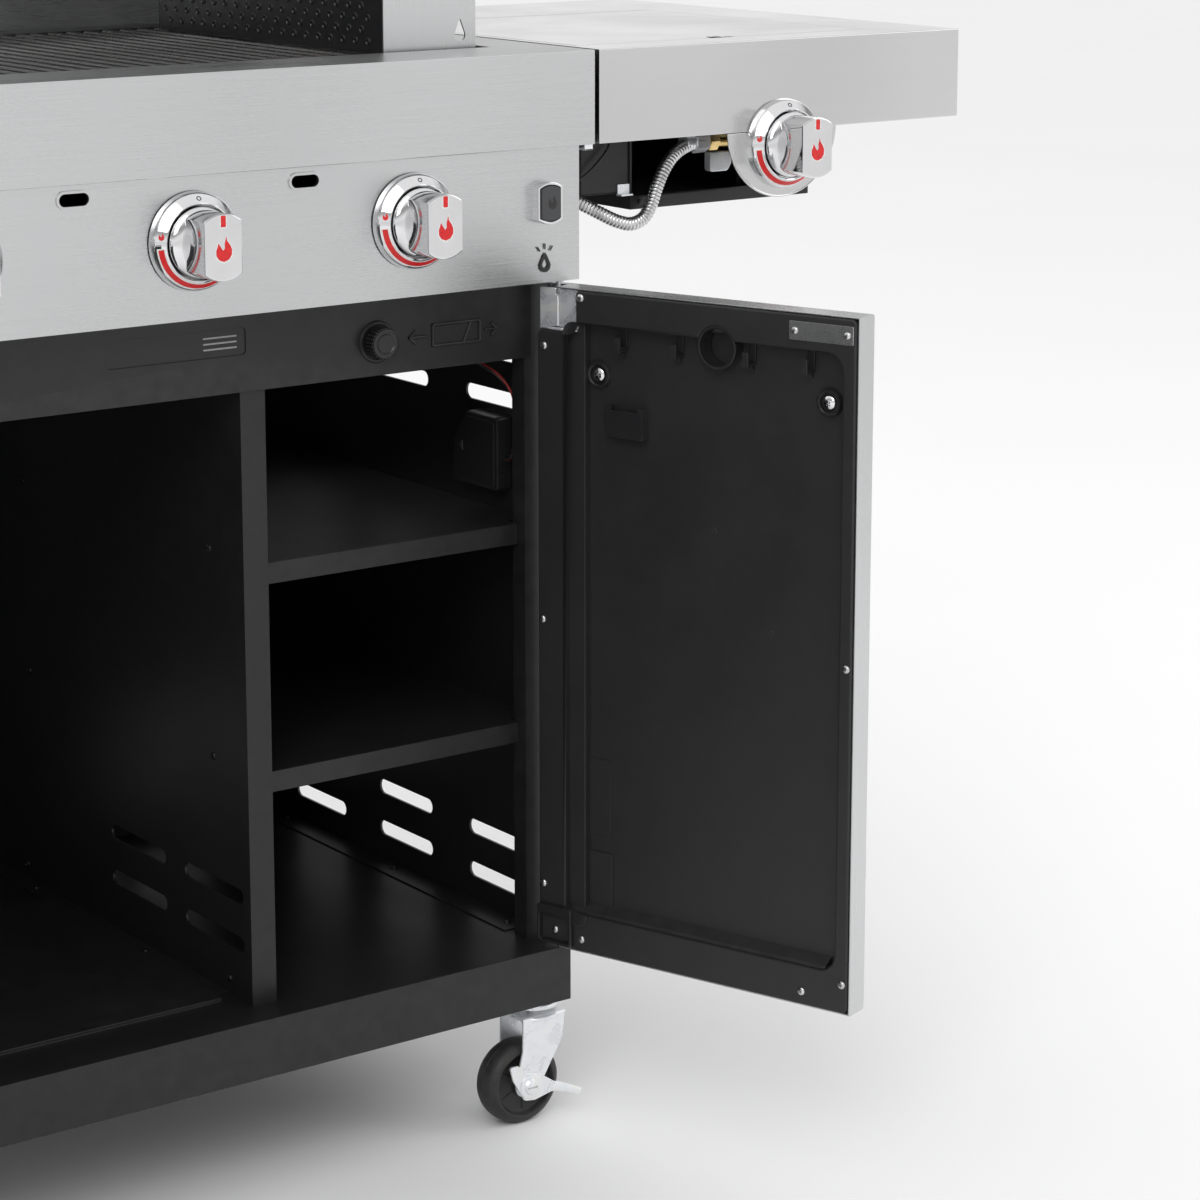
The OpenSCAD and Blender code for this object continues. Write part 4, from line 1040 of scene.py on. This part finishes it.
def build_wires():
    """Two twisted wires, and the battery box that they leave."""
    wires = Piece("ignition_wires", "cart", [WIRE_RED, INK])
    for k in range(2):
        turns = [p + 1.25 * (X * cos(i * 0.19 + pi * k) + Y * sin(i * 0.19 + pi * k))
                 for i, p in enumerate(evenly(WIRES, 3))]
        wires.tube(turns, 1.1, k, 10)
    wires.done("wire", "igniter_wires")
    box = Piece("battery_box_moulded", "cart", [SMOOTH_PLASTIC, GREY])
    lo, hi = span("battery_box")
    # case, then the slightly raised lid on its side, each with a sloped corner
    for inset, cut_z, cut_y, corner, low, high, edge in ((0, 29, 21, 3, 1, hi.x - lo.x, 2.4),
                                                         (4, 31, 23, 2, 0.3, 3, 0.6)):
        outline = [(lo.y + inset, lo.z + inset), (hi.y - inset, lo.z + inset), (hi.y - inset, hi.z - cut_z),
                   (hi.y - cut_y, hi.z - inset), (lo.y + inset, hi.z - inset)]
        box.plate(rounded(outline, corner), lo.x + low, lo.x + high, "X", edge=edge)
    arrow = offset(hi.y, lo.z, (-17, 27), (-12, 31), (-17, 35))
    box.plate(arrow, lo.x - 0.3, lo.x + 1, "X", edge=0.2, material=1)
    for z in (lo.z + 12, hi.z - 12):
        box.block((lo.x + 4, lo.y - 0.6, z - 1), (hi.x - 3, lo.y + 2, z + 1), 0.5)
    box.done("black_plastic", "battery_box")


build_hose()
build_wires()


# ---- hood fittings ----
def build_hood_handle():
    swing = swung("hood_hinge")
    shut = swing.inverted()
    lo, hi = span("hood_handle")
    half = hi.x
    lo, hi = shut @ lo, shut @ hi
    z = (lo.z + hi.z) / 2
    bar_r, post_x = 11, 205
    depth = min(lo.y, hi.y) + bar_r
    handle = Piece("hood_handle_bar", "hood", [STEEL_X, SATIN_CHROME, SMOOTH_PLASTIC], swing)
    handle.turned(capped([(0, 0), (8.6, 0), (10.4, 0.9), (bar_r, 2.6)], 2 * half), (-half, depth, z), X)
    for x in (-post_x, post_x):
        handle.turned([(0, 0), (8.2, 0), (8.2, 8), (8.8, 12), (11.5, 15.4), (13.4, 16.4), (13.8, 17.2),
                       (13.8, 19.6), (13.2, 20), (0, 20)], (x, depth + 20, z), Y, 2, 48)
        handle.turned([(11.05, 0), (12.4, 0), (12.9, 0.5), (12.9, 25.5), (12.4, 26), (11.05, 26), (11.05, 0)],
                      (x - 13, depth, z), X, 1)
        handle.turned(rod(9.0, 20), (x, depth + 2, z), Y, 1, 48)
    handle.done("shelf_steel", "hood_handle")


def build_thermometer():
    swing = swung("hood_hinge")
    dial = swing.inverted() @ middle("thermometer")
    spot = (dial.x, dial.z)
    face, dial_r = dial.y - 4, 23.4
    gauge = Piece("thermometer_case", "hood", [CHROME, DIAL, INK, RED, SATIN_CHROME], swing)
    gauge.turned([(0, 8), (26, 8), (26.8, 7.2), (27, 5), (26.6, 2.2), (25.4, 0.4), (24.4, 0), (dial_r, 0.6),
                  (23.2, 4.4), (0, 4.4)], (dial.x, face, dial.z), Y, 0, 96)
    gauge.turned([(0, 3.9), (dial_r, 3.9), (dial_r, 4.6), (0, 4.6)], (dial.x, face, dial.z), Y, 1, 96)
    # ticks, and a dark and a red band, printed on the dial
    plane = face + 3.75
    for k in range(41):
        tick = rectangle(19.6 if k % 5 else 18.2, -0.3, 21.4, 0.3)
        place = turned_to((dial.x, 0, dial.z), 40 - 6.5 * k)
        gauge.plate(tick, plane, plane + 0.3, edge=0.03, material=2, matrix=place)
    for start, sweep, material in ((140, 85, 2), (48, 80, 3)):
        band = ring(spot, 16.8, 24, start, sweep) + ring(spot, 15.2, 24, start, sweep)[::-1]
        gauge.plate(band, plane, plane + 0.3, edge=0.03, material=material)
    gauge.done("chrome", "thermometer")
    needle = Piece("thermometer_pointer", "thermometer_needle", [RED, SATIN_CHROME], swing)
    tip = face + 1.7
    needle.plate(offset(*spot, (-1.3, -7), (1.3, -7), (0.3, 19), (-0.3, 19)), tip, tip + 0.7, edge=0.15)
    needle.turned([(0, -0.3), (1.6, -0.1), (2.6, 0.5), (2.6, 1.2), (0, 1.2)], (dial.x, tip, dial.z), Y, 1, 32)
    needle.turned(rod(1.45, 5), (dial.x, tip, dial.z), Y, 1, 24)
    needle.done("needle_red", "thermometer_needle")


build_hood_handle()
build_thermometer()


# ---- casters ----
WHEEL_R = 34.5
AXLE_X = abs(pin_of("caster_front_right_swivel").x) - 16


def build_wheel(name):
    """A dished hard wheel: rounded tread with a parting line, stepped web, hub and bearing bush."""
    node = "wheel_" + name
    c = middle(node)
    half = span(node)[1].y - c.y
    side = [(4.1, 0), (9.0, 0), (10.0, 0.7), (10.6, 2.6), (11.8, 4.6), (15, 5.6), (21.5, 5.4), (24.4, 4.2),
            (25.6, 1.8), (26.3, 0.5), (27.6, 0.2), (29.2, 0.8), (32.4, 3.0), (33.9, 6.2), (34.4, 9),
            (WHEEL_R, half - 0.5)]
    wheel = Piece(node + "_dished", node, [RUBBER, SMOOTH_PLASTIC, BRIGHT])
    front = [(r, less - half) for r, less in side]
    back = [(r, half - less) for r, less in side[::-1]]
    wheel.turned(front + [(34.2, 0)] + back + [(4.1, -half)], c, Y, 0, 96)
    wheel.turned([(4.1, -half - 0.2), (6.4, -half - 0.2), (6.8, -half + 0.3), (6.8, half - 0.3),
                  (6.4, half + 0.2), (4.1, half + 0.2), (4.1, -half - 0.2)], c, Y, 2, 40)
    for k in range(6):
        wheel.block((11, -half + 4.6, -0.8), (24.6, half - 4.6, 0.8), 0.6, 1, turned_to(c, 60 * k + 30))
    wheel.done("wheel_rubber", node)


def build_fork(name, side, braked):
    """Pressed fork: a domed crown over the balls, two tapered legs, an axle with its nut."""
    node = "fork_" + name
    fork = Piece(node + "_pressed", node, [ZINC, BRIGHT], mirrored=side == "left")
    cx, leg, sheet = AXLE_X + 16, 14.5, 2.4
    depth = pin_of("caster_%s_swivel" % name).y
    crown = span(node)[1].z - 1
    fork.turned([(0, 0), (5, 0), (5, -8), (12, -8.2), (19.4, -8.6), (20.6, -9.2), (21, -10.2), (20.6, -11.4),
                 (18.6, -12), (0, -12)], (cx, depth, crown), Z)
    top = crown - 9.5
    outline = offset(cx, top, (-21, 0), (20, 0), (17, -22))
    outline += offset(AXLE_X, WHEEL_R, (14, 2), (11, -8.8), (-11, -8.8), (-12.5, 2))
    outline.append((cx - 21.5, top - 26))
    for sign in (-1, 1):
        a, b = sorted((depth + sign * leg, depth + sign * (leg + sheet)))
        fork.plate(rounded(outline, [3, 3, 10, 8, 8, 8, 8, 12]), a, b, edge=0.8)
        fork.tube([(x, depth + sign * (leg + 0.6), top - 0.5) for x in (cx - 21, cx + 20)], 1.7, 0, 12)
    bridge = rectangle(cx - 20.5, depth - leg - 1.5, cx + 19.5, depth + leg + 1.5, 5)
    fork.plate(bridge, top - 1.2, top + 1.4, "Z", edge=0.7)
    fork.turned(rod(3.9, 36, -18), (AXLE_X, depth, WHEEL_R), Y, 1, 32)
    fork.plate(ring((AXLE_X, WHEEL_R), 6.6, 6), depth + leg + 2.3, depth + leg + 6.2, edge=0.7, material=1)
    # the bolt's head stands further out where a brake lever lies under it
    head = depth - leg - (4.4 if braked else 2.2)
    fork.turned([(0, 0), (6.3, 0), (6.9, -0.7), (6.9, -1.7), (5.4, -3.3), (2.6, -3.9), (0, -4)],
                (AXLE_X, head, WHEEL_R), Y, 0, 40)
    fork.block((AXLE_X - 4.6, head - 4.2, WHEEL_R - 0.7), (AXLE_X + 4.6, head - 3.5, WHEEL_R + 0.7), 0.3, 1)
    fork.done("zinc", node)


def build_brake(side):
    """The brake lever: a plate round the axle's bolt, a curved tail, and a bent foot tab."""
    node = "brake_" + side
    brake = Piece(node + "_lever", node, [ZINC], mirrored=side == "left")
    x, z = abs(pin_of("brake_right_press").x), WHEEL_R
    back = span(node)[1].y
    front = back - 2.2
    outline = offset(x, z, (-10, -4), (-17, 8), (-20, 20), (-12, 20), (-3, 12), (9, 9), (24, -1.5), (21, -9),
                     (4, -12.5), (-6, -11))
    lever = rounded(outline, [6, 10, 2, 4, 8, 6, 3, 4, 8, 5])
    brake.plate(lever, front, back, edge=0.6, holes=[ring((x, z), 6.6, 36)])
    brake.turned([(6.7, 0), (8.6, 0), (10.2, 0.5), (11, 2.0), (10.2, 2.3), (8.4, 1.5), (6.7, 1.5), (6.7, 0)],
                 (x, front - 1.2, z), Y, 0, 48)
    path = smooth_path([(x + 21, front + 1, z - 5), (x + 28, front + 0.6, z - 6.6),
                        (x + 36, front - 0.4, z - 9.6), (x + 48, front - 0.8, z - 15)], 5)
    brake.tube(path, [4.4 - 1.4 * i / (len(path) - 1) for i in range(len(path))], 0, 14, squash=0.32, up=Y)
    brake.done("zinc", node)


def build_casters():
    """Wheels, forks and brakes, and under the tray the mounting plates with their ball races."""
    races = Piece("caster_races", "cart", [ZINC, BRIGHT])
    base = span("base_tray")[0].z
    section = [(6, 0), (19, 0), (21, -1), (21.6, -2.4), (20.4, -4.6), (18.4, -5.4), (17.6, -4.2),
               (6, -4.0), (6, 0)]
    for side in ("right", "left"):
        for end in ("front", "back"):
            name = "%s_%s" % (end, side)
            build_wheel(name)
            build_fork(name, side, end == "front")
            x, y = pin_of("caster_%s_swivel" % name)[:2]
            hole = ring((x, y), 6, 24)
            races.turned(section, (x, y, base), Z)
            races.plate(centred(x, y, 20, 20, 4), base - 2, base, "Z", edge=0.5, holes=[hole])
        build_brake(side)
    races.done("zinc", "caster_plates")


build_casters()


# ---- small fittings of the cabinet ----
def build_cabinet_fittings():
    """Floor flanges, dark screws inside and outside, and the tab under each end of the trim."""
    floor = span("base_tray")[1].z - 3
    wall, back = span("side_panels")[1].x, span("back_panel")[1].y
    divider = span("divider_panel")[0].x
    shelves = (326, 488)
    sheet = Piece("cabinet_floor_flanges", "cart", [BLACK])
    for x0, x1, d0, d1 in ((wall - 26, wall - 2, 62, back - 3), (-wall + 2, -wall + 26, 62, back - 3),
                           (divider - 16, divider + 1, 74, back - 12)):
        sheet.plate(rectangle(x0, d0, x1, d1, 1.5), floor, floor + 1.5, "Z", edge=0.4)
    sheet.done("black_steel")

    def dark_screws(name, places, axis):
        screws(name, "cart", places, axis, material=GLOSS_BLACK, slot="black_steel")

    places = [(sign * (wall - 14), depth, floor + 1.4) for sign in (-1, 1) for depth in (76, 246, 422)]
    places += [(divider - 8, depth, floor + 1.4) for depth in (190, 380)]
    dark_screws("cabinet_floor_screws", places, Z)
    places = [(divider, depth, floor + 13) for depth in (70, 410)]
    places += [(divider, depth, z + 7) for z in shelves for depth in (87, 395)]
    dark_screws("divider_screws", places, -X)
    for side, sign in (("right", 1), ("left", -1)):
        places = [(sign * wall, depth, z) for z in (floor + 10, 660) for depth in (70, 250, 440)]
        if side == "right":
            places += [(wall, depth, z - 8) for z in shelves for depth in (100, 400)]
        dark_screws("outer_screws_" + side, places, sign * X)
    dark_screws("rear_screws", [(x, back, z) for x in (-310, 0, 310) for z in (floor + 12, 400, 628)], Y)
    tabs = Piece("trim_tabs", "cart", [ZINC])
    low, reach = span("front_trim")[0].z, span("front_trim")[1].x
    for sign in (-1, 1):
        x0, x1 = sorted((sign * (reach - 8), sign * (reach - 0.4)))
        tabs.block((x0, 2.4, low - 4.6), (x1, 4.2, low + 1), 0.5)
        tabs.block((x0, 2.4, low - 4.6), (x1, 13, low - 3.2), 0.5)
    tabs.done("zinc")


build_cabinet_fittings()


# ---- stage ----
def build_floor():
    bm = bmesh.new()
    bmesh.ops.create_grid(bm, x_segments=8, y_segments=8, size=45)
    floor = show("floor", mesh_from(bm, "floor"))
    look = Look("pale_floor", (0.88, 0.88, 0.88), 0.9, 0.0, {"Specular IOR Level": 0.1})
    look.tint(look.noise(1.5, 3), (0.3, (0.875, 0.875, 0.875)), (0.7, (0.885, 0.885, 0.885)))
    look.rough(look.noise(9, 4), 0.85, 0.95)
    floor.data.materials.append(look.material)


def build_surround():
    """A world that is white below and overhead, with a grey band a little above the horizon."""
    world = bpy.data.worlds.new("surround")
    bpy.context.scene.world = world
    world.use_nodes = True
    tree = world.node_tree
    kinds = "TexCoord", "SeparateXYZ", "ValToRGB"
    where, split, ramp = (tree.nodes.new("ShaderNode" + kind) for kind in kinds)
    feed(tree, split, {0: where.outputs["Generated"]})
    feed(tree, ramp, {0: split.outputs["Z"]})
    elements = ramp.color_ramp.elements
    elements[0].color, elements[1].color = (0.97, 0.97, 0.97, 1), (1.0, 1.0, 1.0, 1)
    for at, grey in ((0.10, 0.95), (0.20, 0.50), (0.34, 0.36), (0.47, 0.80), (0.60, 1.0)):
        elements.new(at).color = (grey, grey, grey, 1)
    feed(tree, tree.nodes["Background"], {0: ramp.outputs[0], 1: 1.0})


def build_lamp(kind, name, place, size, power):
    """A lamp that points at the grill's middle. Size is an area lamp's width or the sun's angle."""
    light = bpy.data.lights.new(name, kind)
    light.energy = power
    setattr(light, "angle" if kind == "SUN" else "size", size)
    holder = show(name, light)
    holder.location = place
    holder.rotation_euler = (Vector((0, 0, 0.6)) - Vector(place)).to_track_quat("-Z", "Y").to_euler()


def build_camera():
    """The photograph's viewpoint: from the front left, above the control panel, looking a little down."""
    yaw, pitch = 36.24, 11.19
    camera = bpy.data.cameras.new("camera")
    camera.lens, camera.sensor_width = 99.9, 36.0
    camera.shift_y = -0.135
    camera.clip_start, camera.clip_end = 0.1, 50
    holder = show("camera", camera)
    holder.location = (-1.152, FACE - 2.054, 1.062)
    holder.rotation_euler = (radians(90 - pitch), 0, radians(-yaw))
    bpy.context.scene.camera = holder


build_floor()
build_surround()
build_lamp("SUN", "sky", (-3, -4, 6), 0.7, 0.45)
build_lamp("AREA", "key", (-2.6, -3.2, 3.0), 2.2, 45)
build_lamp("AREA", "fill", (3.4, -2.4, 2.2), 2.0, 22)
build_lamp("AREA", "back", (-1.0, 3.6, 2.8), 2.4, 25)
build_camera()
bpy.context.scene.view_settings.view_transform = "Standard"
